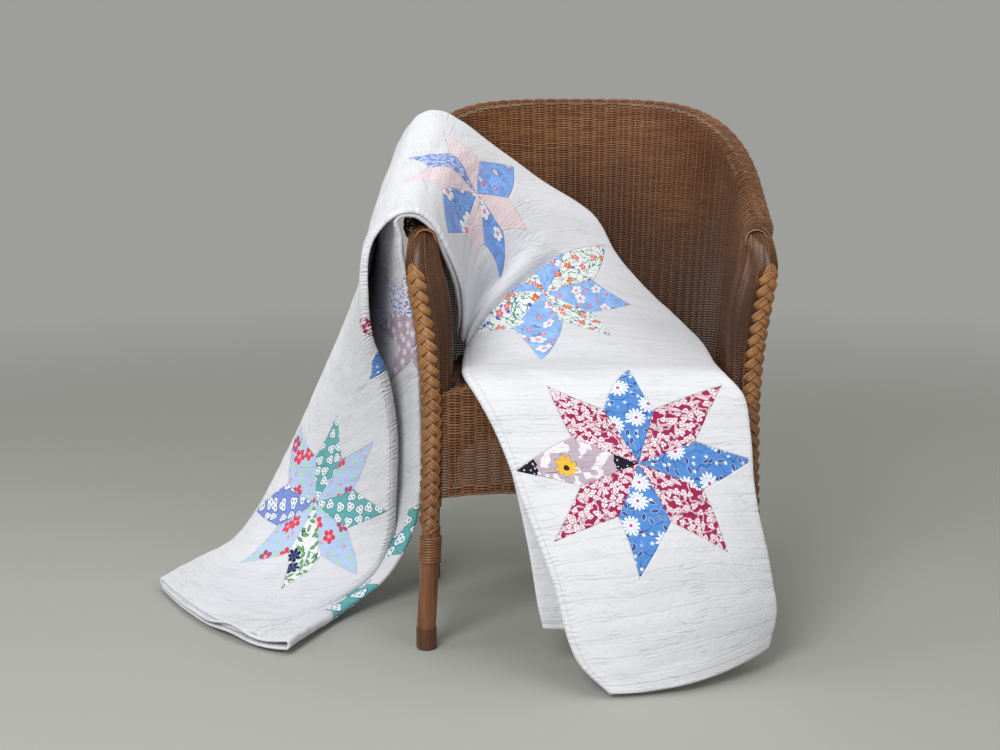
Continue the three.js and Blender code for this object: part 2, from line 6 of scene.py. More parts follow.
import bpy
import numpy as np
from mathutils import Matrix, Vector


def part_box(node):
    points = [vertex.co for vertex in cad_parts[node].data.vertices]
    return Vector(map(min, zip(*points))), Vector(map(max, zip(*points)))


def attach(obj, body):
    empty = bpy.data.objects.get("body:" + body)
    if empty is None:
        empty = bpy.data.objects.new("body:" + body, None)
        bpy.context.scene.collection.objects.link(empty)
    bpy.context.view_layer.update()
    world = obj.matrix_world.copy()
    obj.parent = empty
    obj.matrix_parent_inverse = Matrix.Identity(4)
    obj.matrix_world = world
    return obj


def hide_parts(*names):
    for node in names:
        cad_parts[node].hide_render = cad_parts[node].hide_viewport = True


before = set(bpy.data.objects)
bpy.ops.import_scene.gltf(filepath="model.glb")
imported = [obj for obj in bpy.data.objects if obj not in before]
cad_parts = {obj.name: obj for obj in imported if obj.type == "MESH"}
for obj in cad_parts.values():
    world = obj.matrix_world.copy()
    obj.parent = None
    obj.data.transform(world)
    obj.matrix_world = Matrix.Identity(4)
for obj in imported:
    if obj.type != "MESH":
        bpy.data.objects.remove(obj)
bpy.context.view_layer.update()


def middle_of(node):
    low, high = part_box(node)
    return (low + high) / 2


left_foot, right_foot = middle_of("foot_cap_front_left"), middle_of("foot_cap_front_right")
ORIGIN = np.array([(left_foot.x + right_foot.x) / 2, (left_foot.y + right_foot.y) / 2, 0.0])


def place(points):
    return np.asarray(points, float) / 1000 + ORIGIN


# ---- camera, light and floor ----------------------------------------------------------------
camera_data = bpy.data.cameras.new("camera")
camera_data.lens = 52
camera_data.sensor_width = 36
camera_data.clip_start, camera_data.clip_end = 0.05, 60
camera = bpy.data.objects.new("camera", camera_data)
camera.location = place([-137, -2150, 812])
camera.rotation_euler = (math.radians(80), 0, 0)
bpy.context.scene.collection.objects.link(camera)
bpy.context.scene.camera = camera


def area_light(name, at, towards, size, power, colour=(1, 1, 1)):
    data = bpy.data.lights.new(name, "AREA")
    data.shape = "DISK"
    data.size = size
    data.energy = power
    data.color = colour
    lamp = bpy.data.objects.new(name, data)
    lamp.location = at
    lamp.rotation_euler = (Vector(towards) - Vector(at)).to_track_quat("-Z", "Y").to_euler()
    bpy.context.scene.collection.objects.link(lamp)


area_light("key_light", (-1.1, -2.9, 2.5), (0, 0, 0.4), 1.7, 95)
area_light("fill_light", (2.3, -2.4, 2.0), (0.1, 0, 0.4), 2.0, 20)
area_light("top_light", (0.2, 0.0, 3.2), (0, 0, 0.3), 2.0, 26)
area_light("side_light", (-2.8, -0.9, 1.5), (-0.2, 0, 0.4), 1.6, 14)

world = bpy.data.worlds.new("studio")
world.use_nodes = True
bpy.context.scene.world = world
world.node_tree.nodes["Background"].inputs["Color"].default_value = (0.36, 0.36, 0.345, 1)
world.node_tree.nodes["Background"].inputs["Strength"].default_value = 0.95
bpy.context.scene.view_settings.view_transform = "Standard"


# ---- node helpers ---------------------------------------------------------------------------
class Nodes:
    """Builds a material's node tree. `colour` is what paint() has laid down so far."""

    def __init__(self, name):
        self.material = bpy.data.materials.new(name)
        self.material.use_nodes = True
        self.tree = self.material.node_tree
        self.shader = self.tree.nodes["Principled BSDF"]
        self.colour = None

    def link(self, value, socket):
        if isinstance(value, (int, float)):
            if socket.type in ("VECTOR", "RGBA"):
                value = (value,) * len(socket.default_value)
            socket.default_value = value
        elif isinstance(value, (tuple, list)):
            value = tuple(value)
            if socket.type == "RGBA" and len(value) == 3:
                value += (1.0,)
            socket.default_value = value
        else:
            self.tree.links.new(value, socket)

    def node(self, kind, inputs=None, **settings):
        made = self.tree.nodes.new("ShaderNode" + kind)
        for key, value in settings.items():
            setattr(made, key, value)
        for key, value in (inputs or {}).items():
            self.link(value, made.inputs[key])
        return made

    def math(self, operation, a, b=0.0, c=0.0, clamp=False):
        made = self.node("Math", {0: a, 1: b, 2: c}, operation=operation)
        made.use_clamp = clamp
        return made.outputs[0]

    def times(self, a, b, clamp=False):
        return self.math("MULTIPLY", a, b, clamp=clamp)

    def plus(self, a, b):
        return self.math("ADD", a, b)

    def minus(self, a, b):
        return self.math("SUBTRACT", a, b)

    def scaled(self, a, b, c, clamp=False):
        """a times b plus c."""
        return self.math("MULTIPLY_ADD", a, b, c, clamp)

    def size(self, a):
        return self.math("ABSOLUTE", a)

    def vector(self, operation, a, b=(0, 0, 0)):
        return self.node("VectorMath", {0: a, 1: b}, operation=operation).outputs[0]

    def length(self, v):
        return self.node("VectorMath", {0: v}, operation="LENGTH").outputs["Value"]

    def position(self):
        return self.node("TexCoord").outputs["Object"]

    def mix(self, factor, a, b, blend="MIX"):
        made = self.node("Mix", data_type="RGBA", blend_type=blend)
        for key, value in ((0, factor), (6, a), (7, b)):
            self.link(value, made.inputs[key])
        return made.outputs[2]

    def paint(self, rgb, *masks):
        """Lay an 8-bit colour over the one so far where every mask is 1."""
        masks = [mask for mask in masks if mask is not None]
        cover = masks[0] if len(masks) == 1 else self.times(*masks)
        self.colour = self.mix(cover, self.colour, srgb(*rgb))

    def ramp(self, value, low, high, out_low=0.0, out_high=1.0):
        made = self.node("MapRange", {0: value, 1: low, 2: high, 3: out_low, 4: out_high})
        return made.outputs[0]

    def line(self, value, at, width, depth):
        """A groove as deep as depth where a value is near a level."""
        return self.ramp(self.size(self.minus(value, at)), 0.0, width, depth, 0.0)

    def attribute(self, name):
        return self.node("Attribute", attribute_name=name).outputs["Vector"]

    def split(self, vector):
        return tuple(self.node("SeparateXYZ", {0: vector}).outputs)

    def join(self, x, y, z=0.0):
        return self.node("CombineXYZ", {0: x, 1: y, 2: z}).outputs[0]

    def noise(self, vector, scale, detail=2.0, roughness=0.5):
        inputs = {"Vector": vector, "Scale": scale, "Detail": detail, "Roughness": roughness}
        return self.node("TexNoise", inputs).outputs["Fac"]

    def bump(self, height, strength, distance):
        inputs = {"Height": height, "Strength": strength, "Distance": distance}
        return self.node("Bump", inputs).outputs["Normal"]

    def finish(self, roughness, normal, specular=0.5):
        """Give the shader the painted colour and the rest of the look."""
        self.link(self.colour, self.shader.inputs["Base Color"])
        self.link(roughness, self.shader.inputs["Roughness"])
        self.link(normal, self.shader.inputs["Normal"])
        self.shader.inputs["Specular IOR Level"].default_value = specular
        return self.material


def srgb(*rgb):
    """Linear colour of an 8-bit one."""
    return tuple((c / 255 / 12.92) if c <= 10 else ((c / 255 + 0.055) / 1.055) ** 2.4 for c in rgb)


# ---- mesh helpers ---------------------------------------------------------------------------
def mesh_object(name, points, quads, material, body, attributes=None):
    """A mesh piece from vertices in metres and quads, riding on a body."""
    points = np.asarray(points, np.float32)
    quads = np.asarray(quads, np.int32)
    used = np.unique(quads)
    renumber = np.zeros(len(points), np.int32)
    renumber[used] = np.arange(len(used))
    points, quads = points[used], renumber[quads]
    mesh = bpy.data.meshes.new(name)
    mesh.vertices.add(len(points))
    mesh.vertices.foreach_set("co", points.ravel())
    mesh.loops.add(quads.size)
    mesh.loops.foreach_set("vertex_index", quads.ravel())
    mesh.polygons.add(len(quads))
    width = quads.shape[1]
    mesh.polygons.foreach_set("loop_start", np.arange(0, quads.size, width, dtype=np.int32))
    mesh.polygons.foreach_set("loop_total", np.full(len(quads), width, np.int32))
    mesh.update(calc_edges=True)
    mesh.validate()
    mesh.polygons.foreach_set("use_smooth", np.full(len(mesh.polygons), True))
    for key, values in (attributes or {}).items():
        layer = mesh.attributes.new(key, "FLOAT_VECTOR", "POINT")
        layer.data.foreach_set("vector", np.asarray(values, np.float32)[used].ravel())
    mesh.materials.append(material)
    piece = bpy.data.objects.new(name, mesh)
    bpy.context.scene.collection.objects.link(piece)
    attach(piece, body)
    return piece


def strand_piece(name, strands, material):
    """A piece of the chair from points in its millimetres, quads and a strand value per point."""
    points, quads, value = strands
    return mesh_object(name, place(points), quads, material, "chair", {"strand": value})


def unit(v):
    return v / np.maximum(np.linalg.norm(v, axis=-1, keepdims=True), 1e-9)


def run_length(path):
    """The length from a path's start to each of its points."""
    return np.concatenate([[0], np.cumsum(np.linalg.norm(np.diff(path, axis=0), axis=1))])


def catmull(points, count):
    """Centripetal Catmull-Rom curve, sampled evenly in its station number."""
    p = np.asarray(points, float)
    n = len(p)
    p = np.vstack([2 * p[0] - p[1], p, 2 * p[-1] - p[-2]])
    x = np.linspace(0, n - 1, count) if np.isscalar(count) else np.asarray(count) * (n - 1)
    i = np.clip(x.astype(int), 0, n - 2)
    w = (x - i)[:, None]
    p0, p1, p2, p3 = p[i], p[i + 1], p[i + 2], p[i + 3]

    def gap(a, b):
        return np.maximum(np.sqrt(np.linalg.norm(b - a, axis=1)), 1e-4)[:, None]

    d0, d1, d2 = gap(p0, p1), gap(p1, p2), gap(p2, p3)
    t1 = ((p1 - p0) / d0 - (p2 - p0) / (d0 + d1) + (p2 - p1) / d1) * d1
    t2 = ((p2 - p1) / d1 - (p3 - p1) / (d1 + d2) + (p3 - p2) / d2) * d1
    bend, twist = -3 * p1 + 3 * p2 - 2 * t1 - t2, 2 * p1 - 2 * p2 + t1 + t2
    return p1 + t1 * w + bend * w**2 + twist * w**3


def profile(knots):
    """A smooth function of height through [height, value] knots."""
    dense = catmull([(value, 0, height) for height, value in knots], 400)
    return lambda z: np.interp(z, dense[:, 2], dense[:, 0])


def smooth(x):
    x = np.clip(x, 0, 1)
    return x * x * (3 - 2 * x)


def lattice_noise(x, y, seed):
    """Smooth noise from -1 to 1 with one wave per unit."""
    grid = np.random.RandomState(seed).uniform(-1, 1, (128, 128))
    xi, yi = np.floor(x).astype(int), np.floor(y).astype(int)
    fx, fy = smooth(x - xi), smooth(y - yi)
    a, b = grid[xi & 127, yi & 127], grid[(xi + 1) & 127, yi & 127]
    c, d = grid[xi & 127, (yi + 1) & 127], grid[(xi + 1) & 127, (yi + 1) & 127]
    return (a * (1 - fx) + b * fx) * (1 - fy) + (c * (1 - fx) + d * fx) * fy


def frames_along(path):
    """Tangents and two steady cross directions along a path."""
    tangent = unit(np.gradient(path, axis=0))
    side = np.zeros_like(path)
    start = np.cross(tangent[0], [0.3, 1, 0.2])
    side[0] = start / np.linalg.norm(start)
    for i in range(1, len(path)):
        turned = side[i - 1] - tangent[i] * np.dot(side[i - 1], tangent[i])
        side[i] = turned / np.linalg.norm(turned)
    return tangent, side, np.cross(tangent, side)


def tube_points(path, radius, sides):
    """Rings round a path; radius is a number or one value per point. Returns points and quads."""
    _, side, other = frames_along(path)
    angle = np.linspace(0, 2 * math.pi, sides, endpoint=False)
    radius = np.broadcast_to(np.asarray(radius, float), (len(path),))[:, None, None]
    ring = side[:, None, :] * np.cos(angle)[None, :, None]
    ring = ring + other[:, None, :] * np.sin(angle)[None, :, None]
    points = (path[:, None, :] + radius * ring).reshape(-1, 3)
    return points, grid_quads(len(path), sides, wrap=True)


def grid_quads(rows, columns, wrap=False):
    index = np.arange(rows * columns).reshape(rows, columns)
    nxt = np.roll(index, -1, axis=1) if wrap else index[:, 1:]
    here = index if wrap else index[:, :-1]
    return np.stack([here[:-1], nxt[:-1], nxt[1:], here[1:]], axis=-1).reshape(-1, 4)


def merged(parts):
    """Several (points, quads, attribute) lists as one."""
    points, quads, values, offset = [], [], [], 0
    for p, q, a in parts:
        points.append(p)
        quads.append(q + offset)
        values.append(a)
        offset += len(p)
    return np.vstack(points), np.vstack(quads), np.vstack(values)


# ---- the chair's shape (the same curves as the CAD model) --------------------------------------
post_x = profile([(-40, 255), (0, 253.5), (200, 243), (390, 238), (475, 243), (540, 252),
                  (600, 262), (640, 268), (700, 277)])
roll_centre = profile([(390, 231), (414, 232), (486, 234), (547, 241.5), (585, 250), (630, 259),
                       (660, 264), (700, 270)])
roll_half = profile([(390, 20), (414, 21.5), (486, 25), (547, 28.5), (630, 28), (700, 28)])
SKIRT, SEAT, BACK_TOP, ARM_TOP = 246.0, 412.0, 850.0, 660.0
STAKE_PITCH, WEFT_PITCH = 20.5, 2.12
# The wall's plan: the share of each half that is the round back, where the straight arm starts and
# ends, and the power that squares the round back a little.
BACK_SHARE, ARM_BACK_Y, ARM_FRONT_Y, SQUARE = 0.72, 200, 33, 0.8


def plan(t, z):
    """Centre of the woven wall: t runs from -1 (left arm front) over 0 (back) to 1 (right)."""
    side, share = np.where(t < 0, -1.0, 1.0), np.abs(t)
    rise = (z - SEAT) / (BACK_TOP - SEAT)
    half, depth = 232 + 30 * rise, 455 + 50 * rise
    angle = np.minimum(share / BACK_SHARE, 1) * math.pi / 2
    back_x = half * np.sin(angle) ** SQUARE
    back_y = ARM_BACK_Y + (depth - ARM_BACK_Y) * np.clip(np.cos(angle), 0, 1) ** SQUARE
    run = np.clip((share - BACK_SHARE) / (1 - BACK_SHARE), 0, 1)
    front_x = roll_centre(np.maximum(z, 400)) - roll_half(np.maximum(z, 400)) + 3
    arm_x = half + (front_x - half) * run * run * (1.6 - 0.6 * run)
    arm_y = ARM_BACK_Y + (ARM_FRONT_Y - ARM_BACK_Y) * run
    at_back = share <= BACK_SHARE
    x, y = side * np.where(at_back, back_x, arm_x), np.where(at_back, back_y, arm_y)
    return np.stack([x, y, z + 0 * x], axis=-1)


def outward(t, z):
    before, after = plan(np.maximum(t - 0.004, -1), z), plan(np.minimum(t + 0.004, 1), z)
    way = after - before
    return unit(np.stack([-way[..., 1], way[..., 0], 0 * way[..., 0]], axis=-1))


def roll_radius(t):
    full = 10 + 14 * smooth(np.abs(t) / 0.9)
    return full * (1 - 0.36 * smooth((np.abs(t) - 0.86) / 0.14))


def roll_turn(t):
    return np.radians(78 + 50 * smooth(np.abs(t) / 0.8) + 55 * smooth((np.abs(t) - 0.84) / 0.16))


def wall_top(t):
    y = plan(t, np.full_like(t, 700.0))[..., 1]
    crest = ARM_TOP + (BACK_TOP - ARM_TOP) * smooth((y - 75) / 430)
    return crest - 9 * smooth((np.abs(t) - 0.86) / 0.14) - 3 - roll_radius(t)


t_fine = np.linspace(-1, 1, 4001)
plan_fine = plan(t_fine, np.full_like(t_fine, 600.0))
arc_fine = run_length(plan_fine)
stake_fine = (arc_fine - arc_fine[2000]) / STAKE_PITCH
STAKE_END = stake_fine[-1]


def t_of_stake(q):
    return np.interp(q, stake_fine, t_fine)


def tub(q, s, off):
    """The tub's woven sheet: q counts stakes from the back's middle, s climbs from the skirt's edge
    over the rolled rim, and off is the distance outwards from the sheet's middle."""
    t = t_of_stake(q)
    top = wall_top(t)
    z = np.minimum(SKIRT + s, top)
    n = outward(t, z)
    wall = plan(t, z) + n * off[..., None]
    radius = roll_radius(t)
    angle = np.maximum(s - (top - SKIRT), 0) / radius
    scallop = 1.7 * np.abs(np.cos(math.pi * q)) ** 0.8 * smooth(angle / 0.9)
    reach = radius - off + scallop
    rolled = plan(t, top) + outward(t, top) * (radius - np.cos(angle) * reach)[..., None]
    rolled[..., 2] += np.sin(angle) * reach
    return np.where((angle > 0)[..., None], rolled, wall)


def tub_height(q):
    """Length of the sheet from the skirt's edge to its lip, at a stake."""
    t = t_of_stake(q)
    return wall_top(t) - SKIRT + roll_radius(t) * roll_turn(t)


def row_drop(q, s):
    """How far a row sinks below level towards the arm's front."""
    y = plan(t_of_stake(q), np.full_like(q, 600.0))[..., 1]
    run = np.clip(140 - y, 0, 107)
    return row_slope(SKIRT + s) * run * run / 214


def row_slope(z):
    return 0.8 * smooth((z - 440) / 240)


def weft_mesh(surface, q, s, valid, parity, sides=6, amplitude=1.9, half_height=1.2,
              half_depth=1.05):
    """Strands that weave in and out of the stakes. q, s and parity, +1 or -1, are grids
    [rows, samples]. Returns points, quads and a (q, row, in or out) value for each point."""
    rows, samples = q.shape
    middle = surface(q, s, parity * amplitude)
    along = unit(surface(q, s + 0.7, parity * amplitude) - surface(q, s - 0.7, parity * amplitude))
    out = unit(surface(q, s, parity * amplitude + 0.7) - surface(q, s, parity * amplitude - 0.7))
    angle = np.linspace(0, 2 * math.pi, sides, endpoint=False)
    ring = along[:, :, None, :] * (half_height * np.cos(angle))[None, None, :, None]
    ring = ring + out[:, :, None, :] * (half_depth * np.sin(angle))[None, None, :, None]
    points = (middle[:, :, None, :] + ring).reshape(-1, 3)
    index = np.arange(rows * samples * sides).reshape(rows, samples, sides)
    keep = valid[:, :-1] & valid[:, 1:]
    here, there = index[:, :-1][keep], index[:, 1:][keep]
    quads = np.stack([here, there, np.roll(there, -1, 1), np.roll(here, -1, 1)], axis=-1)
    row = np.broadcast_to(np.arange(rows)[:, None], (rows, samples))
    value = np.stack([q, row + 0 * q, parity + 0 * q], axis=-1)
    return points, quads.reshape(-1, 4), np.repeat(value.reshape(-1, 3), sides, axis=0)


def stake_samples(first, last):
    """Sample places round each stake, with the weave's side of the sheet at each (+1 or -1)."""
    numbers = np.arange(math.ceil(first), math.floor(last) + 1)
    q = (numbers[:, None] + np.array([-0.3, 0.0, 0.3])[None, :]).ravel()
    sign = np.repeat(np.where(numbers % 2 == 0, 1.0, -1.0), 3)
    size = np.tile([0.86, 1.0, 0.86], len(numbers))
    return q, sign * size


def weave_rows(rows, pitch, q1, sign, start=1.2):
    """For a weave: each row's place, and grids [rows, samples] of stake numbers and sides."""
    base = start + pitch * np.arange(rows)[:, None]
    q = np.broadcast_to(q1[None, :], (rows, len(q1))).copy()
    flip = np.where(np.arange(rows) % 2 == 0, 1.0, -1.0)[:, None]
    return base, q, flip * sign[None, :]


def plain_weave(surface, reach, height, pitch, limit=None, **sizes):
    q1, sign = stake_samples(-reach, reach)
    base, q, parity = weave_rows(int(height / pitch), pitch, q1, sign)
    s = base + 0 * q
    valid = np.ones_like(q, bool) if limit is None else limit(q, s)
    return weft_mesh(surface, q, s, valid, parity, **sizes)


def stake_bundle(name, surface, numbers, span, count, radius, off=0.0):
    """One piece with a thin rod along each stake; span gives where a stake starts and ends."""
    parts = []
    for number in numbers:
        q, s = np.full(count, float(number)), np.linspace(*span(number), count)
        points, quads = tube_points(surface(q, s, np.full(count, off)), radius, 6)
        parts.append((points, quads, np.zeros((len(points), 3))))
    points, quads, _ = merged(parts)
    return mesh_object(name, place(points), quads, STAKES, "chair")


# ---- chair materials ------------------------------------------------------------------------
def weave_material(name, low_end, high_end, darkening):
    """Brown woven fibre, painted darker from high_end down to low_end; on the tub's walls and arms
    this is painted shade.
    """
    n = Nodes(name)
    q, row, _ = n.split(n.attribute("strand"))
    at = n.position()
    strand = n.noise(n.join(n.times(q, 0.35), n.times(row, 7.3)), 1.0, 1.0)
    twist = n.noise(n.join(n.times(q, 9.0), n.times(row, 3.1)), 1.0, 2.0)
    n.colour = n.mix(n.ramp(strand, 0.32, 0.68), srgb(112, 70, 42), srgb(158, 108, 66))
    n.paint((104, 62, 36), n.ramp(n.noise(at, 7.0, 3.0, 0.6), 0.35, 0.7))
    n.paint((188, 148, 104), n.ramp(twist, 0.55, 0.8, 0, 0.55))
    # Painted darker towards the bottom; on the tub's copy this is painted shade inside the tub and
    # arms.
    n.paint((50, 27, 15), n.ramp(n.split(at)[2], low_end, high_end, darkening, 0.0))
    fibres = n.noise(n.vector("MULTIPLY", at, (900, 900, 900)), 1.0, 2.0)
    return n.finish(n.ramp(twist, 0.3, 0.8, 0.62, 0.42), n.bump(fibres, 0.35, 0.0004), 0.4)


def stake_material():
    n = Nodes("stake_fibre")
    at = n.position()
    tone = n.noise(at, 60.0, 2.0)
    n.colour = n.mix(tone, srgb(120, 80, 50), srgb(176, 136, 96))
    return n.finish(n.ramp(tone, 0.3, 0.7, 0.6, 0.5), n.bump(n.noise(at, 500.0), 0.4, 0.0005))


def cane_material(name, dark, light):
    n = Nodes(name)
    at = n.position()
    grain = n.noise(n.vector("MULTIPLY", at, (330.0, 330.0, 9.0)), 1.0, 3.0, 0.6)
    patch = n.noise(at, 16.0, 4.0, 0.65)
    specks = n.noise(at, 420.0, 2.0, 0.5)
    n.colour = n.mix(n.ramp(grain, 0.3, 0.72), dark, light)
    for mask, tone in ((n.ramp(patch, 0.5, 0.75, 0, 0.55), [c * 0.45 for c in dark]),
                       (n.ramp(specks, 0.66, 0.76, 0, 0.5), [min(c * 1.9, 1) for c in light])):
        n.colour = n.mix(mask, n.colour, tone)
    return n.finish(n.ramp(patch, 0.3, 0.7, 0.34, 0.52), n.bump(grain, 0.25, 0.0008))


def plait_material():
    n = Nodes("plaited_cane")
    lane, along, tone = n.split(n.attribute("strand"))
    at = n.position()
    grain = n.noise(n.join(n.times(lane, 60.0), n.times(along, 0.05)), 1.0, 3.0)
    patch = n.noise(at, 22.0, 3.0, 0.6)
    n.colour = n.mix(n.ramp(grain, 0.3, 0.7), srgb(128, 78, 36), srgb(196, 142, 82))
    n.paint((104, 60, 28), n.ramp(tone, 0.0, 1.0, 0.0, 0.45))
    n.paint((96, 56, 28), n.ramp(patch, 0.45, 0.75, 0, 0.5))
    n.paint((92, 54, 28), n.ramp(n.split(at)[2], 0.2, 0.5, 0.55, 0.0))
    return n.finish(n.ramp(patch, 0.3, 0.7, 0.26, 0.42), n.bump(grain, 0.3, 0.0006), 0.6)


def timber_material():
    n = Nodes("plain_timber")
    rings = n.noise(n.vector("MULTIPLY", n.position(), (22.0, 160.0, 160.0)), 1.0, 4.0, 0.6)
    n.colour = n.mix(n.ramp(rings, 0.3, 0.7), srgb(120, 88, 58), srgb(164, 126, 86))
    return n.finish(n.ramp(rings, 0.3, 0.7, 0.62, 0.75), n.bump(rings, 0.2, 0.0006))


# Two copies of one fibre: the tub's is painted much darker low down, as painted shade inside the
# tub and arms.
WEAVE = weave_material("woven_fibre", 0.20, 0.50, 0.25)
TUB_WEAVE = weave_material("woven_fibre_tub", 0.52, 0.82, 0.75)
STAKES, PLAIT, TIMBER = stake_material(), plait_material(), timber_material()
LEG = cane_material("leg_cane", srgb(86, 52, 30), srgb(140, 92, 56))
DARK = cane_material("dark_cane", srgb(64, 38, 22), srgb(104, 66, 40))


# ---- woven tub ------------------------------------------------------------------------------
edge = math.floor(STAKE_END)
tub_q, tub_sign = stake_samples(-edge, edge)
tub_q[0], tub_q[-1] = -STAKE_END, STAKE_END
tub_rows = int((tub_height(tub_q).max() + 45) / WEFT_PITCH)
row_base, grid_q, grid_parity = weave_rows(tub_rows, WEFT_PITCH, tub_q, tub_sign)
grid_s = row_base - row_drop(grid_q, row_base + 0 * grid_q)
grid_limit = tub_height(grid_q)
grid_valid = (grid_s >= 0) & (grid_s <= grid_limit)
grid_s = np.clip(grid_s, 0, grid_limit)
quarter = len(tub_q) // 4
for number, word in enumerate(("left", "back_left", "back_right", "right")):
    last = len(tub_q) if number == 3 else (number + 1) * quarter + 1
    part = np.s_[:, number * quarter:last]
    grids = (grid[part] for grid in (grid_q, grid_s, grid_valid, grid_parity))
    piece = strand_piece(f"tub_weave_{word}", weft_mesh(tub, *grids), TUB_WEAVE)

stakes = stake_bundle("tub_stakes", tub, range(-edge, edge + 1),
                      lambda number: (0, tub_height(np.array([float(number)]))[0]), 60, 1.15)
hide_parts("woven_tub")


def rope(name, path, strand_radius, offset, pitch, material, strands=2, sides=7, step=2.4):
    """Strands twisted round a path."""
    length = run_length(path)
    places = np.linspace(0, length[-1], int(length[-1] / step))
    even_path = np.stack([np.interp(places, length, path[:, k]) for k in range(3)], axis=1)
    _, side, other = frames_along(even_path)
    parts = []
    for k in range(strands):
        angle = 2 * math.pi * (places / pitch + k / strands)
        turn = side * np.cos(angle)[:, None] + other * np.sin(angle)[:, None]
        wound = even_path + offset * turn
        points, quads = tube_points(wound, strand_radius, sides)
        value = np.stack([np.full(len(points), k * 0.37), np.repeat(places, sides),
                          np.full(len(points), 0.3 * k)], axis=1)
        parts.append((points, quads, value))
    return strand_piece(name, merged(parts), material)


q = np.linspace(-STAKE_END, STAKE_END, 500)
border = rope("rim_rope", tub(q, tub_height(q) + 0.8, np.full(500, -0.8)), 1.5, 1.3, 13, TUB_WEAVE)
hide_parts("rim_border")

# ---- seat front, apron and seat panel ---------------------------------------------------------
ROLL_Y, ROLL_Z, ROLL_R = 2.0, 403.0, 6.6
ROLL_WRAP = ROLL_R * math.pi * 0.93
APRON_RISE, APRON_REACH = 157.0, 11.3


def apron_bottom(x):
    return 242 + 8 * (1 - np.clip(np.abs(x) / 223, 0, 1) ** 4)


def apron(q, s, off):
    """The apron and the rolled seat edge, in one sheet: q counts stakes from the middle, s climbs
    from the arched lower edge, over the roll, and back along the seat."""
    x = q * STAKE_PITCH
    z = apron_bottom(x) + (ROLL_Z - apron_bottom(x)) * np.minimum(s, APRON_RISE) / APRON_RISE
    reach_x = np.where(s < APRON_RISE, post_x(z) - 11.5, 222)
    angle = np.clip(s - APRON_RISE, 0, ROLL_WRAP) / ROLL_R
    reach = ROLL_R + off
    rolled_y = ROLL_Y - np.cos(angle) * reach + np.maximum(s - APRON_RISE - ROLL_WRAP, 0)
    over = s > APRON_RISE
    y = np.where(over, rolled_y, ROLL_Y - reach)
    z = np.where(over, ROLL_Z + np.sin(angle) * reach, z)
    return np.stack([np.clip(x, -reach_x, reach_x) + 0 * s, y, z], axis=-1)


apron_strands = plain_weave(apron, APRON_REACH, APRON_RISE + ROLL_WRAP, WEFT_PITCH)
apron_piece = strand_piece("apron_weave", apron_strands, WEAVE)
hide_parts("front_apron", "seat_edge_roll")
apron_stakes = stake_bundle("apron_stakes", apron, range(-11, 12),
                            lambda number: (0, APRON_RISE + ROLL_R * 2.6), 24, 1.1)

SEAT_FRONT, SEAT_DEPTH = 12.0, 438.0


def seat_panel(q, s, off):
    return np.stack([q * STAKE_PITCH, SEAT_FRONT + s, 408 + off], axis=-1)


inside_t = np.linspace(-0.999, 0.999, 300)
rail_z = np.full_like(inside_t, 405.0)
inside = (plan(inside_t, rail_z) - outward(inside_t, rail_z) * 8)[150:][::-1]


def within_seat(q, s):
    return np.abs(q * STAKE_PITCH) < np.interp(SEAT_FRONT + s, inside[:, 1], inside[:, 0])


def seat_stake_span(number):
    reach = np.linspace(0, SEAT_DEPTH, 200)
    return 0, reach[within_seat(number, reach)].max()


seat_strands = plain_weave(seat_panel, APRON_REACH, SEAT_DEPTH, 3.2, within_seat, sides=5,
                           amplitude=1.7, half_height=1.75, half_depth=1.1)
seat_piece = strand_piece("seat_weave", seat_strands, WEAVE)
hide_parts("woven_seat")
seat_stakes = stake_bundle("seat_stakes", seat_panel, range(-10, 11), seat_stake_span, 10, 1.1)


# ---- rolled arm fronts ----------------------------------------------------------------------
ARM_FOOT, ARM_STRAIGHT, ARM_BEND, ARM_BEND_RADIUS = 414.0, 160.0, 1.3, 76.0
ARM_LENGTH = ARM_STRAIGHT + ARM_BEND * ARM_BEND_RADIUS
ARM_FIRST, ARM_LAST = -1.3, 5.12
SKIRT_DROP = ARM_FOOT - SKIRT


def arm_roll(side):
    def surface(q, s, off):
        """q counts stakes round the roll, from just short of the tub's front edge at -1.3; s climbs
        from its foot, then leans back over the shoulder to run under the rim. The strip beside the
        tub goes on down to the skirt's edge, at negative s."""
        lean = np.clip((s - ARM_STRAIGHT) / ARM_BEND_RADIUS, 0, ARM_BEND)
        z = ARM_FOOT + np.minimum(s, ARM_STRAIGHT) + (ARM_BEND_RADIUS - 10) * np.sin(lean)
        y = 7.5 + ARM_BEND_RADIUS * (1 - np.cos(lean))
        shoulder = smooth(lean / ARM_BEND)
        half = (roll_half(z) - 3) * (1 - shoulder) + 18 * shoulder
        depth = 21.5 * (1 - shoulder) + 14 * shoulder
        centre = np.minimum(roll_centre(z), 252 + 3 * shoulder)
        angle = math.pi + math.radians(205) * np.clip(q * STAKE_PITCH / 105, 0, 1)
        swell = 1.2 * np.abs(np.cos(math.pi * q)) ** 0.8
        back = np.clip(-q * STAKE_PITCH, 0, np.maximum(34 - y, 0))
        x = centre + (half + off + swell) * np.cos(angle)
        out = -(depth + off + swell) * np.sin(angle) - back
        return np.stack([side * x, y - out * np.cos(lean), z + out * np.sin(lean)], axis=-1)

    q1, sign = stake_samples(ARM_FIRST, ARM_LAST)
    rows = int((ARM_LENGTH + 100 + SKIRT_DROP) / WEFT_PITCH)
    base, q, parity = weave_rows(rows, WEFT_PITCH, np.clip(q1, ARM_FIRST, ARM_LAST), sign,
                                 1.2 - SKIRT_DROP)
    s = base - row_slope(ARM_FOOT + base) * (53 + q * STAKE_PITCH) * 0.8
    valid = (s >= np.where(q < 0.05, -SKIRT_DROP, 0)) & (s <= ARM_LENGTH)
    s = np.clip(s, -SKIRT_DROP, ARM_LENGTH)
    return surface, weft_mesh(surface, q, s, valid, parity, amplitude=1.6)


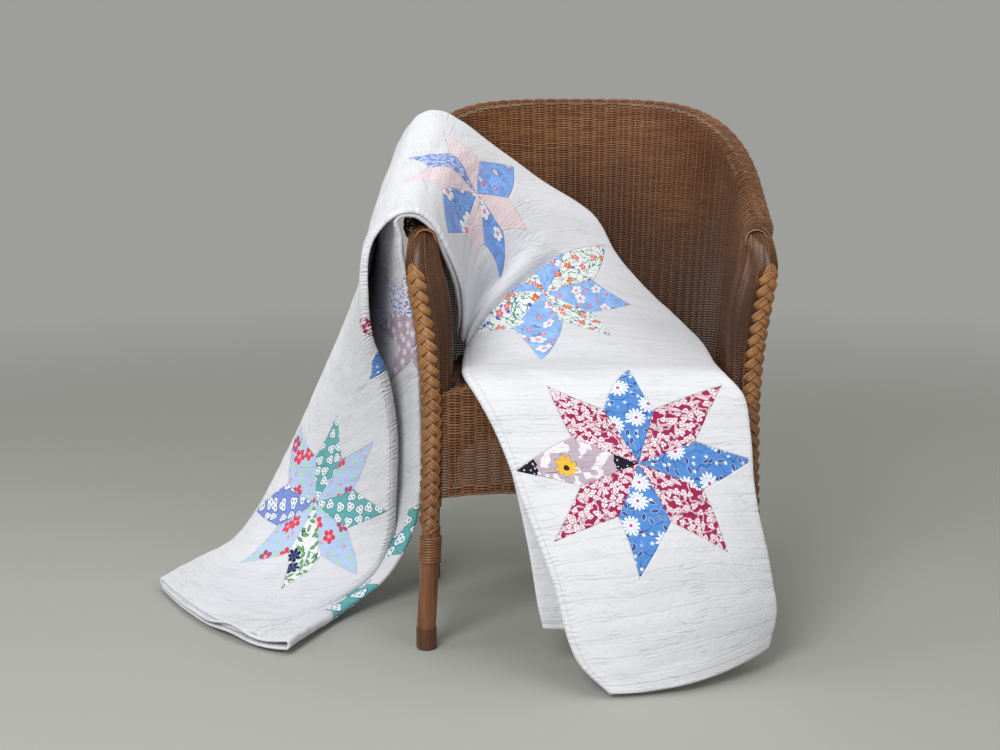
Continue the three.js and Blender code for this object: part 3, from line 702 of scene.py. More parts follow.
for word, side in (("left", -1), ("right", 1)):
    surface, (points, quads, value) = arm_roll(side)
    if side < 0:
        quads = quads[:, ::-1]
    piece = strand_piece(f"arm_weave_{word}", (points, quads, value), TUB_WEAVE)
    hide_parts(f"arm_roll_{word}")
    piece = stake_bundle(f"arm_stakes_{word}", surface, range(-1, 6),
                         lambda number: (-SKIRT_DROP if number < 1 else 0, 250), 40, 1.2, -0.5)

# ---- posts, bindings, feet and plaits ---------------------------------------------------------
BACK_POST = [(262, 365, 3.4), (258.5, 334, 120), (249, 303, 250), (248, 286, 380), (253, 286, 500),
             (263, 293, 630), (269, 299, 700), (272, 302, 728)]
back_x, back_y, back_z = catmull(BACK_POST, 300).T


def front_path(side, z):
    return np.stack([side * post_x(z), 0 * z, z], axis=1)


def back_path(side, z):
    return np.stack([side * np.interp(z, back_z, back_x), np.interp(z, back_z, back_y), z], axis=1)


def oval_cane(path, out, across, thick, wide, sides=8):
    """A flattened cane along a path, with the angle round it at each of its sides."""
    around = np.linspace(0, 2 * math.pi, sides, endpoint=False)
    points = path[:, None, :] + thick * out[:, None, :] * np.cos(around)[None, :, None]
    points = points + wide * across[:, None, :] * np.sin(around)[None, :, None]
    return points.reshape(-1, 3), grid_quads(len(path), sides, wrap=True), around


def cane_post(name, path, radius, node):
    wobble = 1 + 0.012 * lattice_noise(path[:, 2] / 22, 0 * path[:, 2] + len(name), 5)
    points, quads = tube_points(path, radius * wobble, 28)
    piece = mesh_object(name, place(points), quads, LEG, "chair")
    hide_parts(node)


def binding(name, path_at, radius, node):
    turns, sides = 10, 8
    share = np.linspace(0, 1, turns * 22)
    angle = 2 * math.pi * turns * share
    out = np.stack([np.cos(angle), np.sin(angle), 0 * angle], axis=1)
    wound = path_at(140 + 41 * share) + (radius + 1.6) * out
    up = np.cross(unit(np.gradient(wound, axis=0)), out)
    points, quads, _ = oval_cane(wound, out, up, 1.5, 2.0, sides)
    value = np.stack([np.zeros(len(points)), np.repeat(share * 900, sides),
                      np.full(len(points), 0.5)], axis=1)
    piece = strand_piece(name, (points, quads, value), PLAIT)
    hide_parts(node)


def foot(name, x, y, node):
    outline = [(0.01, 0.2), (12.8, 0.2), (14.8, 0.9), (15.7, 2.6), (16.0, 9), (16.0, 24),
               (15.9, 32.5), (15.6, 35.2), (15.0, 36.0), (14.5, 35.0), (14.3, 32)]
    rings, sides = 60, 40
    dense = catmull([(r, 0, z) for r, z in outline], rings)
    angle = np.linspace(0, 2 * math.pi, sides, endpoint=False)
    r, z = np.maximum(dense[:, 0], 0.01)[:, None], np.maximum(dense[:, 2], 0)[:, None]
    points = np.stack([x + r * np.cos(angle), y + r * np.sin(angle), z + 0 * angle], axis=-1)
    quads = grid_quads(rings, sides, wrap=True)
    piece = mesh_object(name, place(points.reshape(-1, 3)), quads, DARK, "chair")
    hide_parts(node)


def plait(name, side, node):
    """Three flat strands, four canes each, plaited down the front of the post."""
    count, period, canes = 520, 55.0, 4
    z = np.linspace(190, 600, count)
    end = smooth((z - 190) / 10) * smooth((602 - z) / 26)
    facing = -math.pi / 2 + side * 0.3
    parts = []
    for lane in range(3 * canes):
        strand, cane = divmod(lane, canes)
        angle = 2 * math.pi * (z / period + strand / 3)
        swing = 11.2 * np.sin(angle)
        over = -2.3 * np.sin(2 * angle)
        slope = np.gradient(swing, z)
        steep = np.sqrt(1 + slope**2)
        aside = (cane - (canes - 1) / 2) * 3.0
        arc = (swing + aside / steep) * (0.3 + 0.7 * end)
        theta = facing + arc / 22.0
        middle = front_path(side, z - aside * slope / steep * 0.9)
        middle -= 7.0 * np.array([math.cos(facing), math.sin(facing), 0])
        out = np.stack([np.cos(theta), np.sin(theta), 0 * theta], axis=1)
        path = middle + out * (22.3 + over * end + 0.4 * math.cos(cane * 2.1))[:, None]
        across = unit(np.cross(unit(np.gradient(path, axis=0)), out))
        points, quads, around = oval_cane(path, out, across, 1.25, 1.75)
        tone = 0.5 + 0.5 * np.sin(angle * 0.5 + lane * 1.7)
        value = np.stack([lane + np.tile(np.sin(around), count) * 0.3,
                          np.repeat(z, 8) + lane * 40, np.repeat(tone, 8)], axis=1)
        parts.append((points, quads, value))
    piece = strand_piece(name, merged(parts), PLAIT)
    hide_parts(node)


def leg(which, word, path_at, z, radius):
    """A cane, upright over its foot and then along its curve, with the foot cap and the binding."""
    foot_x, foot_y, _ = path_at(np.array([36.0]))[0]
    upright = np.clip((z - 38) / 12, 0, 1)[:, None]
    over_foot = np.stack([0 * z + foot_x, 0 * z + foot_y, z], axis=1)
    path = path_at(z) * upright + over_foot * (1 - upright)
    cane_post(f"{which}_cane_{word}", path, radius, f"{which}_post_{word}")
    foot(f"foot_{which}_{word}", foot_x, foot_y, f"foot_cap_{which}_{word}")
    binding(f"binding_{which}_{word}", path_at, radius[0], f"leg_binding_{which}_{word}")


for word, side in (("left", -1), ("right", 1)):
    z = np.concatenate([np.linspace(3.4, 196, 60), np.linspace(198, 588, 70)])
    leg("front", word, lambda h: front_path(side, h), z, np.where(z < 197, 14.7, 13.0))
    plait(f"plait_{word}", side, f"braid_{word}")
    leg("back", word, lambda h: back_path(side, h), np.linspace(3.4, 724, 110), np.full(110, 13.7))

for material, nodes in (
    (TIMBER, ("seat_rail_back", "seat_rail_front", "seat_rail_left", "seat_rail_right",
              "seat_slat_left", "seat_slat_middle", "seat_slat_right", "rim_hoop")),
    (DARK, ("apron_rail", "skirt_hoop")),
):
    for node in nodes:
        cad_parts[node].data.materials.clear()
        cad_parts[node].data.materials.append(material)


# ---- quilt: the folded sheet -----------------------------------------------------------------
# Stations along the folded strip, from the front panel's lower edge over the seat, the left arm
# and the rim to the floor. Each holds the near edge, the middle and the far edge of its top side.
OUTER = [
    [(21, -207, 9), (150, -176, 15), (268, -95, 36)],
    [(-27, -190, 53), (135, -172, 75), (276, -95, 85)],
    [(-62, -155, 160), (115, -150, 180), (262, -90, 170)],
    [(-100, -113, 255), (85, -108, 270), (242, -77, 265)],
    [(-137, -72, 348), (45, -70, 350), (234, -60, 355)],
    [(-170, -42, 408), (10, -40, 414), (226, -42, 408)],
    [(-190, -2, 434), (0, -2, 438), (204, -14, 437)],
    [(-196, 85, 436), (-12, 100, 444), (202, 100, 440)],
    [(-197, 170, 440), (-35, 185, 468), (204, 220, 444)],
    [(-196, 225, 446), (-74, 270, 505), (188, 330, 462)],
    [(-196, 222, 462), (-90, 322, 555), (140, 392, 506)],
    [(-192, 176, 484), (-110, 330, 602), (76, 425, 575)],
    [(-190, 130, 524), (-145, 316, 648), (30, 436, 648)],
    [(-194, 86, 566), (-182, 296, 694), (-60, 438, 708)],
    [(-211, 52, 616), (-222, 250, 738), (-146, 424, 770)],
    [(-236, 32, 664), (-246, 224, 740), (-200, 404, 812)],
    [(-262, 22, 682), (-270, 208, 738), (-238, 392, 832)],
    [(-294, 20, 678), (-302, 206, 728), (-276, 386, 826)],
    [(-324, 19, 655), (-332, 206, 690), (-310, 382, 782)],
    [(-344, 20, 620), (-348, 210, 624), (-332, 382, 714)],
    [(-352, 32, 552), (-367, 226, 532), (-358, 384, 610)],
    [(-347, 60, 477), (-389, 248, 442), (-398, 386, 500)],
    [(-325, 88, 412), (-410, 268, 352), (-441, 386, 398)],
    [(-314, 128, 318), (-434, 288, 254), (-487, 386, 296)],
    [(-318, 165, 205), (-465, 305, 158), (-536, 386, 196)],
    [(-323, 190, 125), (-490, 286, 98), (-584, 384, 112)],
    [(-345, 192, 70), (-514, 250, 56), (-628, 381, 62)],
    [(-402, 148, 36), (-556, 205, 34), (-688, 368, 33)],
    [(-515, 3, 24), (-610, 90, 24), (-733, 282, 24)],
]
# Where the inner pair of layers hangs apart from the outer pair, its own stations.
INNER = {
    0: [(-74, -92, 66), (88, -98, 60), (262, -88, 42)],
    1: [(-80, -87, 100), (84, -92, 98), (266, -86, 92)],
    2: [(-95, -72, 190), (72, -74, 192), (256, -80, 176)],
    3: [(-118, -52, 290), (55, -52, 292), (237, -66, 270)],
    4: [(-140, -40, 366), (38, -44, 366), (230, -50, 357)],
    5: [(-168, -20, 408), (12, -22, 410), (222, -28, 404)],
    6: [(-186, 0, 418), (0, 0, 419), (202, -8, 419)],
    7: [(-188, 85, 418), (-12, 100, 422), (198, 100, 420)],
    18: [(-284, 34, 642), (-322, 206, 670), (-300, 379, 768)],
    19: [(-280, 46, 600), (-328, 208, 612), (-323, 378, 706)],
    20: [(-276, 56, 545), (-336, 214, 530), (-349, 378, 604)],
    21: [(-266, 68, 482), (-348, 226, 455), (-389, 379, 496)],
    22: [(-262, 98, 415), (-370, 256, 368), (-433, 383, 393)],
    23: [(-262, 136, 322), (-404, 288, 268), (-479, 389, 290)],
    24: [(-265, 172, 214), (-444, 316, 166), (-528, 392, 190)],
    25: [(-282, 196, 128), (-476, 302, 92), (-577, 391, 102)],
    26: [(-326, 192, 52), (-504, 252, 36), (-621, 385, 46)],
    27: [(-396, 120, 13), (-546, 186, 12), (-682, 364, 16)],
    28: [(-458, -44, 8), (-586, 52, 8), (-724, 262, 9)],
}
SHEET_WIDTH, LAYER, CLOTH = 1440.0, 360.0, 3.0
QUILTING = 27.5  # from one row of quilting to the next
END_FROM = 40.0  # how far the cloth's floor end lies beyond the path's end, tuck included
LAST = len(OUTER) - 1
ROWS = 560


def three_point(a, c, b, v):
    """The curve across the strip: v = 0 at its near edge a, 0.5 in its middle c, 1 at its far b."""
    v = v[..., None]
    return a * (1 - v) * (1 - 2 * v) + c * 4 * v * (1 - v) + b * v * (2 * v - 1)


def strip_grid(curves, v):
    """Points and underside directions for v values of shape [rows, columns]."""
    a, c, b = (curve[:, None, :] for curve in curves)
    points = three_point(a, c, b, v)
    w = v[..., None]
    across = a * (4 * w - 3) + c * (4 - 8 * w) + b * (4 * w - 1)
    slopes = [np.gradient(curve, axis=0)[:, None, :] for curve in curves]
    along = three_point(slopes[0], slopes[1], slopes[2], v)
    return points, unit(np.cross(along, across))


outer_stations = np.array(OUTER, float)
dense = np.linspace(0, 1, 2801)
dense_middle = catmull(outer_stations[:, 1], dense)
dense_length = run_length(dense_middle)
LENGTH = dense_length[-1]
along_strip = np.linspace(0, LENGTH, ROWS)
u_row = np.interp(along_strip, dense_length, dense)
outer_curves = [catmull(outer_stations[:, k], u_row) for k in range(3)]

fine_curves = [catmull(outer_stations[:, k], dense) for k in range(3)]
fine_points, fine_under = strip_grid(fine_curves, np.tile([0.0, 0.5, 1.0], (len(dense), 1)))
fine_step = (len(dense) - 1) // LAST
inner_stations = (fine_points + fine_under * 15.0)[::fine_step]
for number, station in INNER.items():
    inner_stations[number] = station
inner_curves = [catmull(inner_stations[:, k], u_row) for k in range(3)]


def station_of(values):
    """A value for each row from (station, value) pairs."""
    return np.interp(u_row * LAST, *zip(*values))


def running_sum(points, axis):
    """The length from a grid's first points along one of its axes."""
    steps = np.linalg.norm(np.diff(points, axis=axis), axis=2)
    sums = np.cumsum(steps, axis=axis)
    return np.concatenate([np.zeros_like(np.take(sums, [0], axis=axis)), sums], axis=axis)


level = np.linspace(0, 1, 61)
probe_points = strip_grid(outer_curves, np.tile(level, (ROWS, 1)))[0]
reach_across, reach_along = running_sum(probe_points, 1), running_sum(probe_points, 0)
width_row = reach_across[:, -1]


def v_of(distance):
    """Turn a distance from the near edge, in mm, into v, row by row."""
    return np.stack([np.interp(distance[i], reach_across[i], level) for i in range(ROWS)])


CREASE_FROM, CREASE_RISE, TUCK = 765.0, 190.0, 78.0


def crease_place(v):
    return CREASE_FROM + CREASE_RISE * v


def tuck_amount(v):
    """Cloth hidden in the tuck where the strip turns up from the seat."""
    return TUCK * np.clip(1 - v / 0.78, 0, 1)


def relief(v):
    """How far the quilting puffs the cloth up, in mm."""
    s = along_strip[:, None] + 0 * v
    soft = 2.2 * lattice_noise(s / 118, v * 2.3 + 4, 1)
    soft = soft + 1.3 * lattice_noise(s / 44, v * 2.6 + 9, 2)
    diagonal = 0.9 * lattice_noise(s / 30 + v * 3, v * 7 - s / 130, 3)
    bent = s + 9 * lattice_noise(v * 2.2, s / 160, 4)
    strength = 0.75 + 0.55 * lattice_noise(s / 90, v * 3, 5)
    puff = strength * (np.abs(np.sin(math.pi * bent / QUILTING)) ** 0.55 - 0.7)
    valley = s - crease_place(v)
    fade = smooth((0.8 - v) / 0.3)
    groove, swell = np.exp(-((valley / 6.0) ** 2)), np.exp(-(((valley - 24) / 14) ** 2))
    return soft + diagonal + puff + fade * (-12 * groove + 5.5 * swell)


def bridge(start, start_way, finish, finish_way, count, handle):
    """A rounded fold from one edge to another; both directions point out of the cloth."""
    t = np.linspace(0, 1, count + 2)[1:-1][None, :, None]
    p0, p3 = start[:, None, :], finish[:, None, :]
    p1, p2 = p0 + start_way[:, None, :] * handle, p3 + finish_way[:, None, :] * handle
    return p0 * (1 - t) ** 3 + 3 * p1 * t * (1 - t) ** 2 + 3 * p2 * t * t * (1 - t) + p3 * t**3


def sheet_grid():
    """The folded sheet as one grid, with the place across the cloth and the top layer's v."""
    columns, few = ((84, 26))
    fold, inner_edge, rows_at = 7.0, 18.0, along_strip[:, None]
    roll = station_of([(0, 4.5), (9, 5), (17, 5), (18.5, 7), (20, 11), (25, 11), (26.5, 7),
                       (28, 5)])
    roll, width = roll[:, None], width_row[:, None]
    share = np.linspace(0, 1, columns)[None, :] ** 1.15
    distance = share * width
    wrapped = roll * 1.8
    theta = np.clip((wrapped - distance) / roll, 0, None)
    flat_part = roll + (distance - wrapped) * (width - roll - fold) / (width - wrapped)
    lateral = np.where(theta > 0, roll * (1 - np.sin(theta)), flat_part)
    depth = CLOTH / 2 + roll * (1 - np.cos(theta))
    v1 = v_of(lateral)
    points, under = strip_grid(outer_curves, v1)
    pucker_size = 0.30 + 0.28 * lattice_noise(rows_at / 21, 0 * v1 + 3, 8)
    phase = rows_at / 8.6 + 0.9 * lattice_noise(rows_at / 24, 0 * v1, 6)
    puckers = pucker_size * np.sin(2 * math.pi * phase) * np.exp(-((distance / 17) ** 2))
    lift = relief(v1) * smooth(distance / 30) + puckers
    layer1 = points + under * (depth - lift)[..., None]
    ripple = np.linspace(0, 1, few)[None, :]

    def plain_layer(curves, first, last, depth_at):
        v = v_of(ripple * (last - first) + first)
        points, under = strip_grid(curves, v)
        return points + under * (depth_at - 0.8 * relief(v))[..., None]

    layer2 = plain_layer(outer_curves, roll * 0.55 + 3.5, width - inner_edge, CLOTH / 2 + 4.6)
    layer3 = plain_layer(inner_curves, 6.0, width - inner_edge, -6.0)
    layer4 = plain_layer(inner_curves, 6.0, width - fold - 2, 0.0)
    loose = smooth((u_row * LAST - 26.2) / 1.6)[:, None] * smooth((0.75 - ripple) / 0.5)
    wave = 1 + np.sin(ripple * 17 + rows_at / 46)
    layer3[..., 2] += loose * (3 + 5 * wave)
    layer4[..., 2] += loose * 2.5 * wave
    layer3[..., 1] += loose * 7 * np.sin(rows_at / 24 + ripple * 3)
    layer4[..., 1] += loose * 6 * np.sin(rows_at / 31 + 2)

    def edge_of(layer, edge, before):
        return layer[:, edge], unit(layer[:, edge] - layer[:, before])

    far = bridge(*edge_of(layer1, -1, -3), *edge_of(layer4, -1, -2), 9, 12.0)
    near = bridge(*edge_of(layer4, 0, 1), *edge_of(layer3, 0, 1), 5, 6.0)
    inside = bridge(*edge_of(layer3, -1, -2), *edge_of(layer2, -1, -2), 5, 7.0)
    grid = np.concatenate([layer1, far, layer4[:, ::-1], near, layer3, inside, layer2[:, ::-1]],
                          axis=1)
    w = [share[0] * (LAYER - 6)]
    for number, half, count, last in ((1, 6, 9, 2 * LAYER - 5), (2, 5, 5, 3 * LAYER - 5),
                                      (3, 5, 5, SHEET_WIDTH)):
        middle = number * LAYER
        w.append(np.linspace(middle - half, middle + half, count + 2)[1:-1])
        w.append(np.linspace(middle + half, last, few))
    return grid, np.concatenate(w), v1


grid, sheet_w, top_v = sheet_grid()
columns = grid.shape[1]
top_columns = top_v.shape[1]
cloth_s = np.broadcast_to(along_strip[:, None], grid.shape[:2]).copy()
layer_share = sheet_w / LAYER
v_all = np.clip(np.where(layer_share < 1, layer_share, np.abs((layer_share + 1) % 2 - 1)), 0, 1)
v_all = np.broadcast_to(v_all[None, :], grid.shape[:2]).copy()
v_all[:, :top_columns] = top_v
beyond = cloth_s > crease_place(v_all)
cloth_s = cloth_s + np.where(beyond, tuck_amount(v_all), 0)
cloth_w = np.broadcast_to(sheet_w[None, :], grid.shape[:2])

# Each star: its middle (distance along the strip, distance across from the strip's middle), then
# the direction in degrees and the reach in mm of its eight points, as the draped cloth stretches
# them. Two stars on the steep parts of the drape also give the corners between their points.
TIP, CORNER = 171.6, 171.6 * 0.5412
FAR = 900.0  # further from a star's middle than any of its cloth
STARS = [
    (329, 3, [(0, 171), (37, 213), (73, 184), (118, 154), (181, 181), (214, 198), (251, 183),
              (302, 166)]),
    (824, 20, [(0, 161), (22, 115), (35, 250), (50, 115), (75, 190), (92, 100), (110, 190),
               (130, 100), (150, 180), (170, 95), (189, 174), (225, 120), (250, 228), (270, 84),
               (293, 154), (325, 82)]),
    (1035, 3, [(14, 162), (32, 100), (49, 197), (65, 110), (77, 181), (95, 130), (109, 174),
               (135, 118), (159, 212), (190, 105), (210, 140), (226, 100), (247, 167), (262, 82),
               (291, 107), (330, 66)]),
    (1829, -8, [(28, 151), (60, 175), (105, 192), (138, 208), (172, 192), (216, 182), (270, 175),
                (325, 165)]),
]


def at_each_row(v, table):
    return np.array([np.interp(v[i], level, table[i]) for i in range(ROWS)])


top_reach, top_along = at_each_row(top_v, reach_across), at_each_row(top_v, reach_along)

star_xy = np.full(grid.shape[:2] + (2,), FAR)
star_id = np.zeros(grid.shape[:2], int)


def give_star(number, region, x, y):
    """Lay a star's own coordinates on part of the sheet where it is nearer than any other star."""
    old = np.hypot(star_xy[..., 0], star_xy[..., 1])
    take = region & (np.hypot(x, y) < old)
    star_xy[take, 0], star_xy[take, 1] = x[take], y[take]
    star_id[take] = number


on_top = np.zeros_like(beyond)
on_top[:, :top_columns] = True
strip_s = along_strip[:, None] + 0 * cloth_s
for number, (middle, aside, tips) in enumerate(STARS, start=1):
    row = int(np.argmin(np.abs(along_strip - middle)))
    centre_v = np.interp(np.interp(0.5, level, reach_across[row]) + aside, reach_across[row], level)
    centre_reach, centre_along = (at_each_row(np.full((ROWS, 1), centre_v), table)
                                  for table in (reach_across, reach_along))
    row_reach = np.interp(top_v, level, reach_across[row]) - centre_reach[row]
    row_along = top_along - np.interp(top_v, level, reach_along[row])
    sideways = (top_reach - centre_reach + row_reach) / 2
    along = (centre_along - centre_along[row] + row_along) / 2
    angle = np.degrees(np.arctan2(along, sideways)) % 360
    degrees, reaches = np.array(tips, float).T
    count = len(tips)
    ideal = np.interp(angle, np.concatenate([[degrees[-1] - 360], degrees, [degrees[0] + 360]]),
                      np.arange(-1, count + 1) * 360.0 / count)
    full = np.full(count, TIP)
    if count == 16:
        full[1::2] = CORNER
    length = np.hypot(along, sideways) * np.interp(angle, degrees, full / reaches, period=360)
    x, y = np.full((2,) + cloth_s.shape, FAR)
    x[:, :top_columns] = length * np.cos(np.radians(ideal))
    y[:, :top_columns] = length * np.sin(np.radians(ideal))
    region = on_top & (np.abs(strip_s - middle) < 330)
    if number == 2:
        region &= strip_s < crease_place(v_all) + 4
    if number == 3:
        region &= (strip_s > crease_place(v_all) + 4) | (v_all > 0.8)
    give_star(number, region, x, y)


def s_at(station):
    return float(np.interp(station / LAST, dense, dense_length))


# Parts of other stars that show on the hidden layers and beside the near hem.
for number, middle, at_w, turned in (
    (5, s_at(20.6), 698.0, 0.0), (4, s_at(25.0) + 50, 777.0, -math.pi / 4),
    (1, s_at(19.9), 1262.0, 0.3), (1, 1556.0, -112.0, 0.3),
):
    along, sideways = along_strip[:, None] - middle + 0 * cloth_s, cloth_w - at_w
    x = sideways * math.cos(turned) + along * math.sin(turned)
    y = along * math.cos(turned) - sideways * math.sin(turned)
    region = np.hypot(x, y) < 185
    if number == 4:
        region &= np.minimum(-sideways, np.abs(along)) > np.hypot(x, y) * math.sin(math.pi / 8)
    give_star(number, region, x, y)


# ---- quilt: cloth and printed patches ---------------------------------------------------------
# Each print paints the colour at p, a place in metres on its patch; sizes are in metres too.
WHITE = srgb(218, 219, 224)
HALF_TURN = math.tan(math.radians(22.5))


def sharp(n, inside, soft=0.00045):
    """1 where a distance is positive, with an edge as wide as a thread."""
    return n.scaled(inside, 1 / soft, 0.5, clamp=True)


def above(n, value, level):
    """1 for the scattered motifs whose random number is above a level."""
    return sharp(n, n.minus(value, level), 0.1)


def polar(n, d):
    x, y, _ = n.split(d)
    return n.length(d), n.math("ARCTAN2", y, x)


def scatter(n, p, cell, seed, jitter=0.8):
    """Offset from the nearest of many scattered places, turned at random, and two random values."""
    shifted = n.vector("ADD", p, (seed * 0.137, seed * 0.219, 0))
    cells = n.node("TexVoronoi", {"Vector": shifted, "Scale": 1 / cell, "Randomness": jitter},
                   voronoi_dimensions="2D")
    d = n.vector("SUBTRACT", shifted, cells.outputs["Position"])
    r, g, b = n.split(cells.outputs["Color"])
    turn = {"Vector": d, "Angle": n.times(r, 6.28)}
    return n.node("VectorRotate", turn, rotation_type="Z_AXIS").outputs[0], g, b


def bloom(n, d, size, petals, depth):
    """A flower's outline: 1 inside. Also gives the distance from its middle and the direction."""
    rho, phi = polar(n, d)
    wave = n.size(n.math("COSINE", n.times(phi, petals / 2)))
    reach = n.scaled(wave, size * depth, size * (1 - depth))
    return sharp(n, n.minus(reach, rho)), rho, phi


def disc(n, rho, size):
    return sharp(n, n.minus(size, rho))


def petal_lines(n, rho, phi, petals, start):
    """Thin lines between a flower's petals."""
    near = n.size(n.math("SINE", n.scaled(phi, petals / 2, math.pi / 2)))
    return n.times(n.times(n.minus(0.16, near), 9.0, clamp=True), sharp(n, n.minus(rho, start)))


def flower(n, d, petals, depth, rings, lines=None, hearts=(), keep=None):
    """Paint a flower: rings are (size, colour) outlines from the largest in, lines the (number,
    start, colour) of those between the petals, hearts the (size, colour) discs in its middle."""
    for size, rgb in rings:
        shape, rho, phi = bloom(n, d, size, petals, depth)
        n.paint(rgb, shape, keep)
    if lines:
        n.paint(lines[2], petal_lines(n, rho, phi, *lines[:2]), shape)
    for size, rgb in hearts:
        n.paint(rgb, disc(n, rho, size), keep)
    return rho


def leaf(n, d, length, width):
    x, y, _ = n.split(d)
    along = n.math("DIVIDE", x, length)
    return sharp(n, n.minus(n.scaled(n.times(along, along), -width, width), n.size(y)))


def curl(n, p, scale, width, seed=0.0):
    """Winding lines along a noise's contour."""
    value = n.noise(n.vector("ADD", p, (seed, seed * 0.7, seed * 1.3)), scale, 1.0, 0.4)
    return n.times(n.minus(width, n.size(n.minus(value, 0.5))), 1 / (width * 0.5), clamp=True)


def blue_mum(n, p):
    white, squeeze = (232, 238, 250), (1.0, 1.25, 1)
    n.colour = srgb(84, 138, 208)
    n.paint((30, 44, 118), curl(n, p, 42.0, 0.010, 3.1))
    d, g, _ = scatter(n, p, 0.0135, 2.0, 0.9)
    for length, width, rgb in ((0.0066, 0.0031, (190, 214, 244)), (0.0058, 0.0024, (30, 42, 120)),
                               (0.0046, 0.0003, (130, 160, 220))):
        n.paint(rgb, leaf(n, d, length, width), above(n, g, 0.5))
    d, g, _ = scatter(n, p, 0.0105, 7.0, 0.9)
    flower(n, d, 5, 0.5, [(0.0028, white)], keep=above(n, g, 0.72))
    d = scatter(n, p, 0.052, 5.0, 0.75)[0]
    rho = flower(n, d, 13, 0.42, [(0.0152, white)], (13, 0.006, (140, 175, 228)))
    outer, inner = (bloom(n, n.vector("MULTIPLY", d, squeeze), size, 9, 0.5)[0]
                    for size in (0.0098, 0.0088))
    n.paint((120, 160, 220), outer, n.minus(1.0, inner))
    n.paint((206, 62, 140), disc(n, rho, 0.0026))


def crimson_scroll(n, p):
    white, red = (238, 228, 234), (158, 38, 84)
    n.colour = srgb(*red)
    n.paint(white, curl(n, p, 75.0, 0.050, 1.3))
    n.paint(red, curl(n, p, 75.0, 0.012, 1.3))
    d = scatter(n, p, 0.0185, 4.0, 0.85)[0]
    for length, width, rgb in ((0.0098, 0.0033, red), (0.0088, 0.0026, white),
                               (0.0070, 0.0004, red)):
        n.paint(rgb, leaf(n, d, length, width))
    d, g, _ = scatter(n, p, 0.0108, 9.0, 0.8)
    flower(n, d, 3, 0.42, [(0.0053, red), (0.0046, white)], (3, 0.0012, red), [(0.0009, red)],
           above(n, g, 0.22))


def mauve_daisy(n, p):
    """White blotches on mauve, dark ends with dots and one yellow daisy."""
    a = n.split(p)[0]
    blot = n.noise(n.vector("ADD", p, (3, 1, 0)), 62.0, 1.0, 0.4)
    n.colour = n.mix(sharp(n, n.minus(blot, 0.54), 0.02), srgb(186, 170, 184), srgb(232, 228, 236))
    n.paint((160, 144, 162), curl(n, p, 62.0, 0.012, 0.8), 0.5)
    wobble = n.times(n.minus(n.noise(p, 130.0), 0.5), 0.016)
    end = sharp(n, n.plus(n.minus(n.size(n.minus(a, 0.0875)), 0.0555), wobble))
    n.paint((26, 24, 40), end)
    d = scatter(n, p, 0.0085, 3.0, 0.8)[0]
    n.paint((226, 222, 232), disc(n, n.length(d), 0.0011), end)
    n.paint((40, 34, 48), leaf(n, n.vector("SUBTRACT", p, (0.118, 0.007, 0)), 0.016, 0.0006))
    flower(n, n.vector("SUBTRACT", p, (0.101, 0.001, 0)), 9, 0.45,
           [(0.0168, (70, 50, 30)), (0.0160, (240, 190, 60))], (18, 0.006, (206, 130, 30)),
           [(0.0043, (46, 38, 52))])


def green_squiggle(n, p):
    n.colour = srgb(232, 236, 236)
    n.paint((34, 142, 104), curl(n, p, 92.0, 0.034, 2.2))
    d, g, _ = scatter(n, p, 0.0125, 6.0, 0.9)
    flower(n, d, 4, 0.5, [(0.0036, (66, 96, 190))], keep=above(n, g, 0.74))
    d, g, b = scatter(n, p, 0.0215, 3.0, 0.85)
    keep = above(n, g, 0.3)
    shape, rho, _ = bloom(n, d, 0.0068, 5, 0.5)
    hue = n.mix(above(n, b, 0.55), srgb(226, 96, 44), srgb(232, 110, 140))
    n.colour = n.mix(n.times(shape, keep), n.colour, hue)
    n.paint((248, 214, 120), disc(n, rho, 0.0016), keep)


def white_flowers(base, size, cell, heart, seed, blooms):
    """White flowers on blue, with a darker line drawing and small blooms in the hearts' colour."""
    dark = [int(c * 0.62) for c in base]

    def paint(n, p):
        light = srgb(*(min(255, int(c * 1.12)) for c in base))
        n.colour = n.mix(n.ramp(n.noise(p, 45.0, 1.0), 0.4, 0.65), srgb(*base), light)
        n.paint(dark, curl(n, p, 60.0, 0.009, 1.7 + seed))
        d, g, _ = scatter(n, p, 0.016, seed + 2, 0.9)
        flower(n, d, 5, 0.4, [(0.0042, heart)], None, [(0.0014, (246, 214, 222))],
               above(n, g, 1 - blooms))
        flower(n, scatter(n, p, cell, seed, 0.75)[0], 5, 0.34,
               [(size * 1.07, dark), (size, (232, 234, 242))], (5, size * 0.3, base),
               [(size * 0.27, heart), (size * 0.1, (250, 224, 226))])

    return paint


def red_dots(n, p):
    cells = n.vector("FRACTION", n.vector("MULTIPLY", p, (330.0, 330.0, 1)))
    x, y, _ = n.split(n.vector("SUBTRACT", cells, (0.5, 0.5, 0)))
    n.colour = srgb(236, 228, 232)
    n.paint((196, 78, 104), n.times(n.minus(0.30, n.length(n.join(x, y))), 8.0, clamp=True))


def paisley(n, p):
    light = (222, 230, 246)
    n.colour = srgb(112, 142, 212)
    n.paint(light, curl(n, p, 88.0, 0.026, 2.9))
    flower(n, scatter(n, p, 0.0145, 8.0, 0.7)[0], 6, 0.35, [(0.0046, light)], None,
           [(0.0018, (84, 112, 190))])


def trefoil(base):
    def paint(n, p):
        line, white = (38, 62, 120), (236, 240, 244)
        n.colour = srgb(*base)
        n.paint(white, n.ramp(n.noise(p, 900.0, 1.0), 0.3, 0.7, 0.0, 0.25))
        d = scatter(n, p, 0.0235, 2.0, 0.4)[0]
        flower(n, d, 3, 0.42, [(0.0108, line), (0.0096, white)])
        for turn in (0.0, 2.094, 4.189):
            middle = (0.0043 * math.cos(turn), 0.0043 * math.sin(turn), 0)
            n.paint(base, disc(n, n.length(n.vector("SUBTRACT", d, middle)), 0.0018))

    return paint


